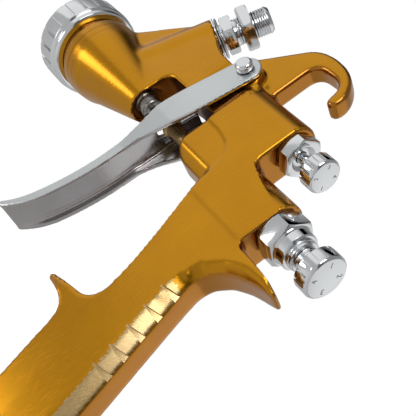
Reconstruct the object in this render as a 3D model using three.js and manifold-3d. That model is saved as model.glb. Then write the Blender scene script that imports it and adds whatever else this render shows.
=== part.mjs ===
// Gravity-feed HVLP spray gun without its cup, in millimetres, +Z up.
//
// The nozzle points to -X and the adjusting knobs to +X, and y = 0 is the plane of symmetry. Every
// dimension is taken from the needle axis and from a plane across it, just in front of the rear
// block. At the end the whole gun is moved so that the origin is the point it hangs from.

import * as THREE from 'three';
import { mergeVertices } from 'three/addons/utils/BufferGeometryUtils.js';
import Module from 'manifold-3d';

// ---------------------------------------------------------------------------------------------
// Driving dimensions
// ---------------------------------------------------------------------------------------------

const GAP = 0.3; // running clearance between neighbouring pieces
const SIDES = 24; // facets of a large round
const SMALL_SIDES = 16; // facets of a small round

// Body casting
const BODY_HALF = 8.2; // half width of the handle and of the rear block
const NECK_HALF = 7.2; // half width under the trigger arms
const PAD_HALF = 8; // half width beside the cup tower
const HOOK_HALF = 4.2; // half width of the hanging hook
const PATTERN_Z = 23.9; // height of the pattern valve above the needle axis
const PIVOT_X = -2.3;
const PIVOT_Z = 32; // height of the trigger pivot above the needle axis
const BLOCK_FRONT = 4.2; // front face of the rear block
const GLAND_FACE = BLOCK_FRONT + 0.4; // front face of the air valve's gland
const UPPER_BOSS_Z = 25.3; // centre of its rounded top
const UPPER_BOSS_END = 34.3; // rear face of the pattern valve boss
const LOWER_BOSS_Z = 2; // centre of its rounded top
const LOWER_BOSS_END = 57; // rear face of the needle boss
const WINDOW_TOP = 12.5; // ceiling of the trigger window
const BARREL_END = -28; // rear end of the barrel
const BARREL_END_R = 8;
const BARREL_R = 17.2;
const LIP_X = -71; // front edge of the barrel lip
const NOSE_END = -84; // front end of the threaded nose
const NOSE_R = 15.6;
const HANDLE_LEAN = THREE.MathUtils.degToRad(16);
const HANGING_POINT = new THREE.Vector3(17.8, 0, 53.3); // underside of the hook

// Cup tower
const TOWER_LEAN = THREE.MathUtils.degToRad(20); // backward lean of the cup socket
const TOWER_TOP = new THREE.Vector3(-36.8, 0, 38.9); // centre of the socket's top face
const TOWER_R = 8.8;

// Trigger
const ARM_IN = 8.6; // inner face of an arm
const ARM_OUT = 10.4; // outer face of an arm
const PULL_OUT = 7.7; // half width of the finger pull
const SHEET = 1.6; // sheet thickness of the finger pull
const WEB_TOP = 11.6; // top of the sheet between the arms
const PIN_R = 2.5;
const PIN_HEAD_R = 3.3;

// Needle and valve train
const NEEDLE_R = 1.25;
const SHAFT_R = 2.9;
const VALVE_BORE_R = 5.4;
const GUIDE_THREAD_R = 6.3;
const KNOB_FACE = 82; // rear face of the fluid knob
const KNOB_R = 8;
const PATTERN_FACE = 51.4; // rear face of the pattern knob
const PATTERN_KNOB_R = 6.5;
const GROOVES = 16; // grooves around each knob

// Air cap
const RING_REAR = -74.3;
const RING_FRONT = -91.5;
const RING_R = 19.6;
const RING_GROOVES = 20; // grip grooves around the ring
const CAP_R = 12.4;
const CAP_FRONT = -93.5;
const HORN_FRONT = -98.5;

// ---------------------------------------------------------------------------------------------
// Solids
// ---------------------------------------------------------------------------------------------

const wasm = await Module();
wasm.setup();

/** Turns a closed three.js geometry into a solid for boolean work, facing outwards. */
function solid(geometry) {
  const bare = geometry.clone();
  bare.deleteAttribute('normal');
  bare.deleteAttribute('uv');
  const welded = mergeVertices(bare, 1e-4);
  const points = welded.attributes.position;
  const corners = Array.from(welded.index.array);
  const keep = [];
  let volume = 0;
  const [a, b, c] = [new THREE.Vector3(), new THREE.Vector3(), new THREE.Vector3()];
  for (let i = 0; i < corners.length; i += 3) {
    const [p, q, r] = corners.slice(i, i + 3);
    if (p === q || q === r || r === p) continue;
    keep.push(p, q, r);
    a.fromBufferAttribute(points, p);
    b.fromBufferAttribute(points, q);
    c.fromBufferAttribute(points, r);
    volume += a.dot(b.cross(c));
  }
  if (volume < 0) keep.reverse();
  const mesh = new wasm.Mesh({
    numProp: 3,
    vertProperties: Float32Array.from(points.array),
    triVerts: Uint32Array.from(keep),
  });
  return new wasm.Manifold(mesh);
}

/** Adds a list of solids into one. */
function join(...pieces) {
  return pieces.reduce((whole, piece) => whole.add(piece));
}

/** Cuts a list of solids out of the first one. */
function cut(whole, ...tools) {
  return tools.reduce((rest, tool) => rest.subtract(tool), whole);
}

/** Turns a solid back into a three.js geometry with flat faces. */
function toGeometry(body) {
  const mesh = body.getMesh();
  const geometry = new THREE.BufferGeometry();
  const points = new Float32Array(mesh.vertProperties);
  geometry.setAttribute('position', new THREE.BufferAttribute(points, 3));
  geometry.setIndex(Array.from(mesh.triVerts));
  const flat = geometry.toNonIndexed();
  flat.computeVertexNormals();
  return flat;
}

/** Revolves a closed outline of [x, radius] points about the X axis. */
function turned(outline, sides = SIDES) {
  const points = [...outline, outline[0]].map(([x, r]) => new THREE.Vector2(Math.max(r, 0), x));
  const geometry = new THREE.LatheGeometry(points, sides);
  geometry.rotateZ(-Math.PI / 2);
  return solid(geometry);
}

/** A round bar between two points. */
function rod(from, to, radius, sides = SIDES, endRadius = radius) {
  const start = new THREE.Vector3(...from);
  const end = new THREE.Vector3(...to);
  const along = end.clone().sub(start);
  const geometry = new THREE.CylinderGeometry(endRadius, radius, along.length(), sides);
  geometry.translate(0, along.length() / 2, 0);
  const turn = new THREE.Quaternion().setFromUnitVectors(
    new THREE.Vector3(0, 1, 0),
    along.clone().normalize(),
  );
  geometry.applyQuaternion(turn);
  geometry.translate(start.x, start.y, start.z);
  return solid(geometry);
}

/** A round bar along X on an axis at height z. */
function bar(x0, x1, radius, z = 0, sides = SIDES) {
  return rod([x0, 0, z], [x1, 0, z], radius, sides);
}

/** A tube along X on an axis at height z. */
function tube(x0, x1, outer, inner, z = 0, sides = SIDES) {
  return cut(bar(x0, x1, outer, z, sides), bar(x0 - 1, x1 + 1, inner, z, sides));
}

/** A box between two corners. */
function block([x0, x1], [y0, y1], [z0, z1]) {
  const geometry = new THREE.BoxGeometry(x1 - x0, y1 - y0, z1 - z0);
  geometry.translate((x0 + x1) / 2, (y0 + y1) / 2, (z0 + z1) / 2);
  return solid(geometry);
}

/** Extrudes a side view (x across, z up) over y = -half..half, with an optional edge bevel. */
function plate(shape, half, bevel = 0) {
  const geometry = new THREE.ExtrudeGeometry(shape, {
    depth: 2 * (half - bevel),
    bevelEnabled: bevel > 0,
    bevelThickness: bevel,
    bevelSize: bevel,
    bevelOffset: -bevel,
    bevelSegments: 1,
    curveSegments: 8,
  });
  geometry.rotateX(Math.PI / 2);
  geometry.translate(0, half - bevel, 0);
  return solid(geometry);
}

/** Extrudes a front view (y across, z up) over x0..x1. */
function frontPlate(shape, x0, x1) {
  const geometry = new THREE.ExtrudeGeometry(shape, {
    depth: x1 - x0,
    bevelEnabled: false,
    curveSegments: 8,
  });
  geometry.rotateX(Math.PI / 2);
  geometry.rotateZ(Math.PI / 2);
  geometry.translate(x0, 0, 0);
  return solid(geometry);
}

/** A closed outline with straight edges. */
function outline(points) {
  return new THREE.Shape(points.map(([x, y]) => new THREE.Vector2(x, y)));
}

/** A hexagonal bar along X with conical chamfers; flat is the size across flats. */
function hexBar(x0, x1, flat, z = 0, turn = 0) {
  const corner = flat / Math.sqrt(3);
  const geometry = new THREE.CylinderGeometry(corner, corner, x1 - x0, 6);
  geometry.rotateY(turn);
  geometry.rotateZ(-Math.PI / 2);
  geometry.translate((x0 + x1) / 2, 0, z);
  const chamfer = (corner - flat / 2) * 0.9;
  const cone = turned([
    [x0, 0],
    [x0, corner - chamfer],
    [x0 + chamfer * 0.6, corner + 0.05],
    [x1 - chamfer * 0.6, corner + 0.05],
    [x1, corner - chamfer],
    [x1, 0],
  ]).translate([0, 0, z]);
  return solid(geometry).intersect(cone);
}

/** A helical compression spring along X. */
class Helix extends THREE.Curve {
  constructor(x0, x1, radius, turns) {
    super();
    Object.assign(this, { x0, x1, radius, turns });
  }

  getPoint(t, target = new THREE.Vector3()) {
    const angle = 2 * Math.PI * this.turns * t;
    const x = THREE.MathUtils.lerp(this.x0, this.x1, t);
    return target.set(x, this.radius * Math.cos(angle), this.radius * Math.sin(angle));
  }
}

function spring(x0, x1, radius, wire, turns) {
  const section = new THREE.Shape(); // a square wire stands in for a round one
  for (let i = 0; i < 4; i += 1) {
    const angle = (Math.PI * i) / 2;
    const [u, v] = [(wire / 2) * Math.cos(angle), (wire / 2) * Math.sin(angle)];
    if (i === 0) section.moveTo(u, v);
    else section.lineTo(u, v);
  }
  section.closePath();
  const geometry = new THREE.ExtrudeGeometry(section, {
    extrudePath: new Helix(x0 + wire / 2, x1 - wire / 2, radius, turns),
    steps: Math.round(turns * 10),
    bevelEnabled: false,
  });
  return solid(geometry);
}

/** The cup socket's own axis: X runs up the socket, from its top face. */
function onTower(piece) {
  const degrees = 90 - THREE.MathUtils.radToDeg(TOWER_LEAN);
  return piece.rotate([0, -degrees, 0]).translate(TOWER_TOP.toArray());
}

/** The handle's own axis: X runs down the handle, from the centre of its bottom face. */
const HANDLE_FOOT = new THREE.Vector3(61.8, 0, -107.9);
function onHandle(piece) {
  const degrees = 90 - THREE.MathUtils.radToDeg(HANDLE_LEAN);
  return piece.rotate([0, degrees, 0]).translate(HANDLE_FOOT.toArray());
}

// ---------------------------------------------------------------------------------------------
// Materials
// ---------------------------------------------------------------------------------------------

const finish = (color, roughness, metalness) => ({ color, roughness, metalness });
const ANODISED = finish(0xc08a1e, 0.38, 1);
const CHROME = finish(0xd9dcdf, 0.16, 1);
const SATIN = finish(0xc3c8c8, 0.4, 1);
const STAINLESS = finish(0xa9a9a6, 0.3, 1);
const BRASS = finish(0xb9954a, 0.35, 1);
const SPRING_STEEL = finish(0x8d8f92, 0.35, 1);
const PTFE = finish(0xe9e7df, 0.6, 0);
const RUBBER = finish(0x1c1c1e, 0.75, 0);

const group = new THREE.Group();
group.name = 'hvlp_spray_gun';

function add(name, body, { color, roughness, metalness }) {
  const material = new THREE.MeshStandardMaterial({ color, roughness, metalness });
  material.name = `${name}_material`;
  const mesh = new THREE.Mesh(toGeometry(body), material);
  mesh.name = name;
  group.add(mesh);
}

// ---------------------------------------------------------------------------------------------
// Body casting
// ---------------------------------------------------------------------------------------------

/** Side view of the rear block, the handle with its finger hook, and the rear spur. */
function handleShape() {
  const shape = new THREE.Shape();
  shape.moveTo(BLOCK_FRONT, UPPER_BOSS_Z);
  shape.lineTo(BLOCK_FRONT, 1);
  shape.quadraticCurveTo(4.6, -7.4, 12.4, -7.4);
  shape.lineTo(25.2, -7.4);
  shape.lineTo(33.8, -31);
  shape.quadraticCurveTo(37.4, -41, 39.3, -50);
  shape.quadraticCurveTo(40.9, -59.6, 34, -61.3);
  shape.quadraticCurveTo(26, -63, 19.5, -64.6);
  shape.quadraticCurveTo(15.6, -66, 19.5, -67.2);
  shape.quadraticCurveTo(32, -66, 35, -71);
  shape.quadraticCurveTo(36.9, -75, 37.9, -80);
  shape.lineTo(46.2, -109);
  shape.quadraticCurveTo(47.1, -112.1, 50.1, -111.3);
  shape.lineTo(73.5, -104.6);
  shape.quadraticCurveTo(76.7, -103.7, 75.8, -100.6);
  shape.lineTo(65.3, -63);
  shape.quadraticCurveTo(59.3, -42, 57.2, -34);
  shape.quadraticCurveTo(55.6, -24, 67, -19.6);
  shape.quadraticCurveTo(72, -17.6, 77.2, -16.8);
  shape.quadraticCurveTo(80.4, -15.7, 77.2, -14.8);
  shape.quadraticCurveTo(73, -13.8, 59.5, -13.8);
  shape.quadraticCurveTo(LOWER_BOSS_END, -13.6, LOWER_BOSS_END, -11.2);
  shape.lineTo(LOWER_BOSS_END, LOWER_BOSS_Z);
  shape.lineTo(UPPER_BOSS_END + 4, 8);
  shape.quadraticCurveTo(UPPER_BOSS_END, 8.2, UPPER_BOSS_END, 12);
  shape.lineTo(UPPER_BOSS_END, UPPER_BOSS_Z);
  shape.closePath();
  return shape;
}

/** Side view of the pad between the trigger window, the barrel and the cup socket. */
function towerPadShape() {
  const slope = Math.tan(TOWER_LEAN);
  const shape = new THREE.Shape();
  shape.moveTo(-13, WINDOW_TOP);
  shape.lineTo(BARREL_END + 5, WINDOW_TOP);
  shape.quadraticCurveTo(BARREL_END, WINDOW_TOP, BARREL_END, WINDOW_TOP - 5);
  shape.lineTo(BARREL_END, -1);
  shape.lineTo(TOWER_TOP.x - (TOWER_TOP.z + 1) * slope, -1);
  shape.lineTo(TOWER_TOP.x, TOWER_TOP.z);
  shape.lineTo(TOWER_TOP.x + TOWER_R * 0.94, TOWER_TOP.z - TOWER_R * 0.94 * slope);
  shape.quadraticCurveTo(-22, 31.8, -13, 32);
  shape.closePath();
  return shape;
}

/** Side view of the hanging hook, open to the rear. */
function hookShape() {
  const shape = new THREE.Shape();
  shape.moveTo(-14, 28);
  shape.lineTo(-14, 36.3);
  shape.lineTo(2.2, 55.5);
  shape.quadraticCurveTo(6, 59.9, 13.5, 59.9);
  shape.quadraticCurveTo(23, 60, 28, 55);
  shape.quadraticCurveTo(31.9, 51, 31.9, 46.8);
  shape.quadraticCurveTo(31.8, 43.2, 29.3, 43.2);
  shape.quadraticCurveTo(27.2, 43.4, 27, 46.2);
  shape.quadraticCurveTo(26.6, 53.3, 19.5, 53.3);
  shape.lineTo(16, 53.3);
  shape.quadraticCurveTo(10.8, 53.2, 10.7, 48);
  shape.lineTo(10.7, 28);
  shape.closePath();
  return shape;
}

/** The barrel: a cone that widens to the lip and the threaded nose. */
function barrel() {
  return turned(
    [
      [BARREL_END, 0],
      [BARREL_END, BARREL_END_R],
      [-61, 16.6],
      [-66, BARREL_R],
      [LIP_X, BARREL_R],
      [LIP_X - 0.6, BARREL_R - 1.2],
      [RING_REAR + 0.4, BARREL_R - 1.2],
      [RING_REAR + 0.3, NOSE_R],
      [NOSE_END, NOSE_R],
      [NOSE_END, 0],
    ],
    48,
  );
}

/** One air passage: over the trigger window, down past the tower's foot and on to the nose. */
const PASSAGE_R = 1.5;
const PASSAGE_BENDS = [
  [-27, 4.9, 14.8],
  [-50, 5.3, 9.8],
  [-78, 5.6, 10.4],
];
function passage(start, side) {
  const legs = [];
  let from = start;
  for (const to of PASSAGE_BENDS) {
    legs.push(rod([from[0], side * from[1], from[2]], [to[0], side * to[1], to[2]], PASSAGE_R, 12));
    from = to;
  }
  return legs;
}

/** Everything bored out of the casting: needle bore, valve bores and air passages. */
function bodyBores() {
  const drillings = [
    // needle axis, from the nose to the rear
    bar(-90, -76, 13.2),
    bar(-77, -56, 6.1, 0, SMALL_SIDES),
    bar(-57, -38, 2.2, 0, SMALL_SIDES),
    bar(-40, -25, 4.9, 0, SMALL_SIDES),
    bar(-30, -25, 7.2, 0, SMALL_SIDES),
    bar(0, 47, VALVE_BORE_R, 0, SMALL_SIDES),
    bar(46, 60, GUIDE_THREAD_R, 0, SMALL_SIDES),
    // pattern valve
    bar(12, 40, 3.1, PATTERN_Z, SMALL_SIDES),
    bar(25.6, 40, 5.3, PATTERN_Z, SMALL_SIDES),
    // paint passage from the cup socket
    rod([TOWER_TOP.x, 0, TOWER_TOP.z], [-50.9, 0, 0], 3.2, 16),
    // air up the handle to the valve, and on to the nose by two passages
    rod(HANDLE_FOOT.toArray(), [31.3, 0, 0], 4.4, SMALL_SIDES),
    rod([13, 4.6, 0], [13, 4.6, PATTERN_Z], PASSAGE_R, 12),
    ...passage([15, 4.6, 20], 1),
    rod([13, 0, PATTERN_Z], [13, -4.6, PATTERN_Z], 1.4, 12),
    ...passage([13, 4.6, PATTERN_Z], -1),
    // trigger pivot
    rod([PIVOT_X, -20, PIVOT_Z], [PIVOT_X, 20, PIVOT_Z], PIN_R + GAP, SMALL_SIDES),
  ];
  drillings.push(onTower(bar(-9, 2, 5.9, 0, SMALL_SIDES)));
  drillings.push(onHandle(bar(-14, 2, 6.1, 0, SMALL_SIDES)));
  return drillings;
}

/** Bevels along both rear edges of a side outline; depth is how far each runs into the side. */
function rearBevels(path) {
  const core = 4.5; // half width left at the rear face
  const tools = [];
  for (let i = 1; i < path.length; i += 1) {
    const [x0, z0, depth] = path[i - 1];
    const [x1, z1] = path[i];
    const along = new THREE.Vector3(x1 - x0, 0, z1 - z0);
    const length = along.length();
    along.normalize();
    const rearward = new THREE.Vector3(-along.z, 0, along.x);
    for (const side of [-1, 1]) {
      const slope = (BODY_HALF - core) / depth;
      const shape = outline([[1, core - slope], [1, 10], [-(10 - core) / slope, 10]]);
      const geometry = new THREE.ExtrudeGeometry(shape, { depth: length + 0.6, bevelEnabled: false });
      const frame = new THREE.Matrix4().makeBasis(rearward, new THREE.Vector3(0, side, 0), along);
      geometry.applyMatrix4(frame);
      geometry.translate(x0 - along.x * 0.3, 0, z0 - along.z * 0.3);
      tools.push(solid(geometry));
    }
  }
  return tools;
}

/** The rear edge from the tip of the spur down to the foot, with the bevel depth at each point. */
const REAR_EDGE = [
  [80.4, -16.3, 2.5],
  [75, -17.3, 2.5],
  [68, -19.2, 2.5],
  [62, -22.4, 3],
  [58.2, -26.8, 4.4],
  [57.2, -32, 5],
  [59.3, -42, 5.2],
  [77.8, -108, 5.2],
];

/** Tapers the tips of the spur and of the finger hook in the top view. */
function tipTapers() {
  const tools = [];
  for (const side of [-1, 1]) {
    const spur = outline([[66, 8.3 * side], [74, 7 * side], [81, 2 * side], [81, 9 * side], [66, 9 * side]]);
    const finger = outline([[31, 8.3 * side], [15, 4 * side], [15, 9 * side], [31, 9 * side]]);
    for (const [shape, low, high] of [[spur, -24, -13], [finger, -70, -60]]) {
      const geometry = new THREE.ExtrudeGeometry(shape, { depth: high - low, bevelEnabled: false });
      geometry.translate(0, 0, low);
      tools.push(solid(geometry));
    }
  }
  return tools;
}

/** Bevels along the lower corners of the valve boss. */
function valveBossBevels() {
  return [-1, 1].map((side) => {
    const shape = outline([[9 * side, -1.6], [9 * side, -8.4], [3.4 * side, -8.4]]);
    return frontPlate(shape, 0, 25.2);
  });
}

function gunBody() {
  const rear = plate(handleShape(), BODY_HALF);
  const pad = plate(towerPadShape(), PAD_HALF, 0.5);
  const neck = block([-14, BLOCK_FRONT + 2], [-NECK_HALF, NECK_HALF], [WINDOW_TOP, 32]);
  const boss = rod([PIVOT_X, -PAD_HALF, PIVOT_Z], [PIVOT_X, PAD_HALF, PIVOT_Z], 6);
  const upper = bar(BLOCK_FRONT, UPPER_BOSS_END, BODY_HALF, UPPER_BOSS_Z, 40);
  const lower = bar(28, LOWER_BOSS_END, BODY_HALF, LOWER_BOSS_Z, 40);
  const tower = onTower(bar(-36, 0, TOWER_R));
  const gusset = plate(outline([[-43, 38], [-67, 16], [-67, 4], [-43, 4]]), 6.5, 2.5);
  const hook = plate(hookShape(), HOOK_HALF, 0.9);
  const whole = join(rear, pad, neck, boss, upper, lower, tower, gusset, hook, barrel());
  return cut(whole, ...bodyBores(), ...rearBevels(REAR_EDGE), ...tipTapers(), ...valveBossBevels());
}

add('gun_body', gunBody(), ANODISED);

// ---------------------------------------------------------------------------------------------
// Nozzle end
// ---------------------------------------------------------------------------------------------

function fluidNozzle() {
  const body = turned([
    [-60, 2.2],
    [-60, 5.8],
    [-76.3, 5.8],
    [-76.3, 8.4],
    [-80, 8.4],
    [-81, 7.2],
    [-84.5, 6.2],
    [-91.8, 1.9],
    [-93, 1.6],
    [-93, 0.95],
    [-91.5, 0.95],
    [-88, 2.2],
  ]);
  const airHoles = [];
  for (let i = 0; i < 8; i += 1) {
    const angle = (i * Math.PI) / 4;
    const [y, z] = [7 * Math.cos(angle), 7 * Math.sin(angle)];
    airHoles.push(rod([-74, y, z], [-83, y, z], 0.7, 6));
  }
  return cut(body, ...airHoles);
}

function airBaffle() {
  const plateRing = tube(-78.6, -77.2, 12.8, 8.7);
  const holes = [];
  for (let i = 0; i < 6; i += 1) {
    const angle = ((i + 0.5) * Math.PI) / 3;
    const [y, z] = [10.8 * Math.cos(angle), 10.8 * Math.sin(angle)];
    holes.push(rod([-76, y, z], [-80, y, z], 0.9, 8));
  }
  return cut(plateRing, ...holes);
}

/** The air cap: a flanged dish with two horns that carry the pattern jets. */
function airCap() {
  const dish = turned([
    [-84.4, 9.2],
    [-84.4, 15.2],
    [-86.2, 15.2],
    [-86.2, CAP_R],
    [CAP_FRONT + 0.8, CAP_R],
    [CAP_FRONT, CAP_R - 1],
    [CAP_FRONT, 2.6],
    [CAP_FRONT + 1, 2.1],
    [CAP_FRONT + 1.6, 2.4],
    [-88.5, 7.8],
  ]);
  const horn = (side) => {
    const wedge = [
      [CAP_FRONT + 1, 7.2 * side],
      [CAP_FRONT + 1, 11.8 * side],
      [HORN_FRONT, 10.6 * side],
      [HORN_FRONT, 8.6 * side],
    ];
    return plate(outline(wedge), 4.2, 0.6);
  };
  const jets = [-1, 1].flatMap((side) => [
    rod([-90, 0, side * 10.2], [HORN_FRONT - 1, 0, side * 9.4], 0.7, 10),
    rod([-94, 0, side * 6.2], [-90.3, 0, side * 7], 0.5, 8),
  ]);
  return cut(join(dish, horn(1), horn(-1)), ...jets);
}

function airCapRing() {
  const shell = turned(
    [
      [RING_REAR, NOSE_R + GAP],
      [RING_REAR, 18.4],
      [RING_REAR - 1.2, RING_R],
      [RING_FRONT + 3, RING_R],
      [RING_FRONT, 17.6],
      [RING_FRONT, CAP_R + GAP],
      [-87.6, CAP_R + GAP],
      [-87.6, NOSE_R + GAP],
    ],
    48,
  );
  const grooves = [];
  for (let i = 0; i < RING_GROOVES; i += 1) {
    const groove = block([RING_FRONT - 1, RING_REAR - 4.6], [-0.65, 0.65], [RING_R - 0.75, RING_R + 1]);
    grooves.push(groove.rotate([(360 * i) / RING_GROOVES, 0, 0]));
  }
  return cut(shell, ...grooves);
}

function airCapClip() {
  const geometry = new THREE.TorusGeometry(14.6, 0.4, 6, 32);
  geometry.rotateY(Math.PI / 2);
  geometry.translate(-86.9, 0, 0);
  return solid(geometry);
}

add('fluid_nozzle', fluidNozzle(), STAINLESS);
add('air_baffle', airBaffle(), BRASS);
add('air_cap', airCap(), BRASS);
add('air_cap_ring', airCapRing(), CHROME);
add('air_cap_clip', airCapClip(), SPRING_STEEL);

// ---------------------------------------------------------------------------------------------
// Cup socket
// ---------------------------------------------------------------------------------------------

/** Nipple that the cup screws on: flange, hexagon and a long thread with a conical seat. */
function cupNipple() {
  const stem = turned([
    [-8.4, 0],
    [-8.4, 5.6],
    [0.9, 5.6],
    [0.9, 7.6],
    [1.5, 8.6],
    [2.1, 7.6],
    [2.1, 5.4],
    [8, 5.4],
    [8.4, 5.6],
    [21.6, 5.6],
    [22.6, 4.6],
    [22.6, 0],
  ]);
  const hex = hexBar(2.8, 7.3, 14, 0, 0.1);
  const bore = bar(-10, 24, 3.1, 0, SMALL_SIDES);
  return onTower(cut(join(stem, hex), bore));
}

function cupLockNut() {
  const hole = bar(9, 16, 5.9, 0, SMALL_SIDES);
  return onTower(cut(hexBar(10.2, 14.8, 17, 0, 0.25), hole));
}

add('cup_nipple', cupNipple(), CHROME);
add('cup_nipple_washer', onTower(tube(0.2, 0.7, 8.8, 5.9)), CHROME);
add('cup_lock_nut', cupLockNut(), CHROME);

// ---------------------------------------------------------------------------------------------
// Needle, packing and air valve, all on the needle axis
// ---------------------------------------------------------------------------------------------

function packingScrew() {
  const screw = join(bar(-33, -30.2, 4.6), bar(-30.4, -24.5, 4.3));
  const needleHole = bar(-40, -20, 1.65, 0, SMALL_SIDES);
  const slot = block([-26.2, -20], [-6, 6], [-0.6, 0.6]);
  return cut(screw, needleHole, slot);
}

function fluidNeedle() {
  return turned([
    [-94.2, 0.12],
    [-88, NEEDLE_R],
    [60, NEEDLE_R],
    [60.8, 0.7],
    [60.8, 0],
    [-94.2, 0],
  ], 16);
}

/** Hollow shaft that the trigger pushes; the needle runs through it. */
function airValveShaft() {
  return turned([
    [-12.2, 1.6],
    [-12.2, 3.2],
    [-11.2, 3.8],
    [-9.8, 3.8],
    [-9.8, SHAFT_R],
    [18.5, SHAFT_R],
    [18.5, 1.6],
  ]);
}

/** A plug that is screwed in flush with the rear block, with a slot across its face. */
function airValveGland() {
  const slot = block([GLAND_FACE - 1, GLAND_FACE + 1], [-6, 6], [-0.6, 0.6]);
  return cut(bar(GLAND_FACE, 9.8, 5.05), bar(-2, 12, SHAFT_R + GAP, 0, SMALL_SIDES), slot);
}

function fluidGuide() {
  const profile = turned([
    [46.4, 0],
    [46.4, 5.95],
    [58, 5.95],
    [58, 7.6],
    [64.2, 7.6],
    [65.4, 6.9],
    [68.6, 6.9],
    [69, 6.4],
    [69, 5.2],
    [69.7, 5.2],
    [69.9, 5.6],
    [70.5, 5.6],
    [70.7, 5.1],
    [71.2, 5.1],
    [71.2, 0],
  ], 32);
  return cut(join(profile, hexBar(58, 64.8, 16, 0, 0.35)), bar(45, 73, 4.1, 0, 24));
}

/** A grooved adjusting knob with its stem, opening to the front. */
function knobHead(front, face, radius) {
  const chamfer = 0.8;
  const head = turned([
    [front, 0],
    [front, radius - chamfer * 1.4],
    [front + chamfer, radius],
    [face - chamfer, radius],
    [face, radius - chamfer],
    [face, 0],
  ], 36);
  const grooves = [];
  for (let i = 0; i < GROOVES; i += 1) {
    const angle = (360 * (i + 0.5)) / GROOVES;
    const groove = block([front - 1, face - 1.5], [-0.38, 0.38], [radius - 0.55, radius + 1]);
    grooves.push(groove.rotate([angle, 0, 0]));
  }
  return cut(head, ...grooves);
}

function fluidKnob() {
  const stem = turned([
    [50, 0],
    [50, 3.8],
    [71.5, 3.8],
    [71.7, 4.3],
    [72.6, 4.3],
    [73, 3.8],
    [77, 3.8],
    [77, 0],
  ]);
  return cut(join(stem, knobHead(75.4, KNOB_FACE, KNOB_R)), bar(45, 71.5, 2.9, 0, SMALL_SIDES));
}

/** Valve disc with the collar that the spring bears on. */
function airValvePoppet() {
  return turned([
    [18.9, 1.6],
    [18.9, 3.2],
    [20, 4.9],
    [22.4, 4.9],
    [23.4, 3.4],
    [27, 3.4],
    [27, 1.6],
  ]);
}

add('needle_packing', tube(-38, -33.4, 4.5, 1.6), PTFE);
add('packing_screw', packingScrew(), STAINLESS);
add('fluid_needle', fluidNeedle(), STAINLESS);
add('air_valve_shaft', airValveShaft(), BRASS);
add('air_valve_gland', airValveGland(), STAINLESS);
add('shaft_o_ring', tube(10.4, 12.2, 4.9, 3.2), RUBBER);
add('air_valve_seat', tube(12.7, 15.2, 5, 3.3), BRASS);
add('air_valve_poppet', airValvePoppet(), BRASS);
add('air_valve_spring', spring(23.8, 46, 4.4, 0.8, 8), SPRING_STEEL);
add('needle_collar', tube(31.6, 33.4, 2.4, 1.6), BRASS);
add('needle_spring', spring(33.8, 71.1, 2.1, 0.7, 9), SPRING_STEEL);
add('fluid_guide_gasket', tube(57.25, 57.75, 7.6, 6.3), PTFE);
add('fluid_guide', fluidGuide(), CHROME);
add('fluid_knob', fluidKnob(), CHROME);

// ---------------------------------------------------------------------------------------------
// Pattern valve
// ---------------------------------------------------------------------------------------------

function patternGuide() {
  const sleeve = join(bar(26.2, 35.6, 5, 0, 32), hexBar(35.2, 39.6, 14, 0, 0.2));
  const dish = turned([[40.4, 0], [40.4, 4.4], [38.4, 3.2], [38.4, 0]]);
  return cut(sleeve, bar(25, 42, 2.3, 0, SMALL_SIDES), dish).translate([0, 0, PATTERN_Z]);
}

function patternStem() {
  return turned([
    [13.5, 0],
    [17, 2],
    [24.2, 2],
    [24.2, 1.4],
    [25.1, 1.4],
    [25.1, 2],
    [43, 2],
    [43, 1.4],
    [48.6, 1.4],
    [48.6, 0],
  ]).translate([0, 0, PATTERN_Z]);
}

function patternKnob() {
  const head = join(knobHead(44.9, PATTERN_FACE, PATTERN_KNOB_R), bar(43.4, 45.6, 2.8));
  return cut(head, bar(42, 49, 1.7, 0, SMALL_SIDES)).translate([0, 0, PATTERN_Z]);
}

function patternClip() {
  const clip = cut(tube(24.4, 24.9, 2.8, 1.7, 0, 20), block([24, 26], [-1, 1], [0, 4]));
  return clip.translate([0, 0, PATTERN_Z]);
}

add('pattern_guide_gasket', tube(34.55, 34.95, 6.4, 5.3, PATTERN_Z), PTFE);
add('pattern_guide', patternGuide(), CHROME);
add('pattern_stem', patternStem(), STAINLESS);
add('pattern_clip', patternClip(), SPRING_STEEL);
add('pattern_knob', patternKnob(), CHROME);

// ---------------------------------------------------------------------------------------------
// Trigger
// ---------------------------------------------------------------------------------------------

/** Side view of the trigger: front edge down, rear edge back up. */
function triggerShape() {
  const shape = new THREE.Shape();
  shape.moveTo(PIVOT_X - 6, PIVOT_Z);
  shape.quadraticCurveTo(-9.4, 27, -12.4, 13);
  shape.quadraticCurveTo(-14.6, 3, -14.1, -3);
  shape.quadraticCurveTo(-12.2, -12, -12.3, -26);
  shape.quadraticCurveTo(-12.6, -40, -17, -54);
  shape.quadraticCurveTo(-19.5, -61.5, -24, -66.5);
  shape.quadraticCurveTo(-22.4, -69, -20.4, -66.3);
  shape.quadraticCurveTo(-15, -61, -12.6, -54);
  shape.quadraticCurveTo(-8.4, -40, -8, -26);
  shape.quadraticCurveTo(-8, -15, -5.3, -9.2);
  shape.quadraticCurveTo(-0.8, 1, 0.2, 9);
  shape.lineTo(PIVOT_X + 5.8, PIVOT_Z - 2);
  shape.absarc(PIVOT_X, PIVOT_Z, 6, -0.34, Math.PI, false);
  return shape;
}

/** Side view of the hollow behind the sheet of the finger pull. */
function pullHollowShape() {
  const shape = new THREE.Shape();
  shape.moveTo(-12.6 + SHEET, WEB_TOP + 0.5);
  shape.quadraticCurveTo(-14.3 + SHEET, 3, -14.1 + SHEET, -3);
  shape.quadraticCurveTo(-12.2 + SHEET, -12, -12.3 + SHEET, -26);
  shape.quadraticCurveTo(-12.6 + SHEET, -40, -17 + SHEET, -54);
  shape.quadraticCurveTo(-19.5 + SHEET, -61.5, -25 + SHEET, -70);
  shape.lineTo(10, -70);
  shape.lineTo(10, WEB_TOP + 0.5);
  shape.closePath();
  return shape;
}

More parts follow.
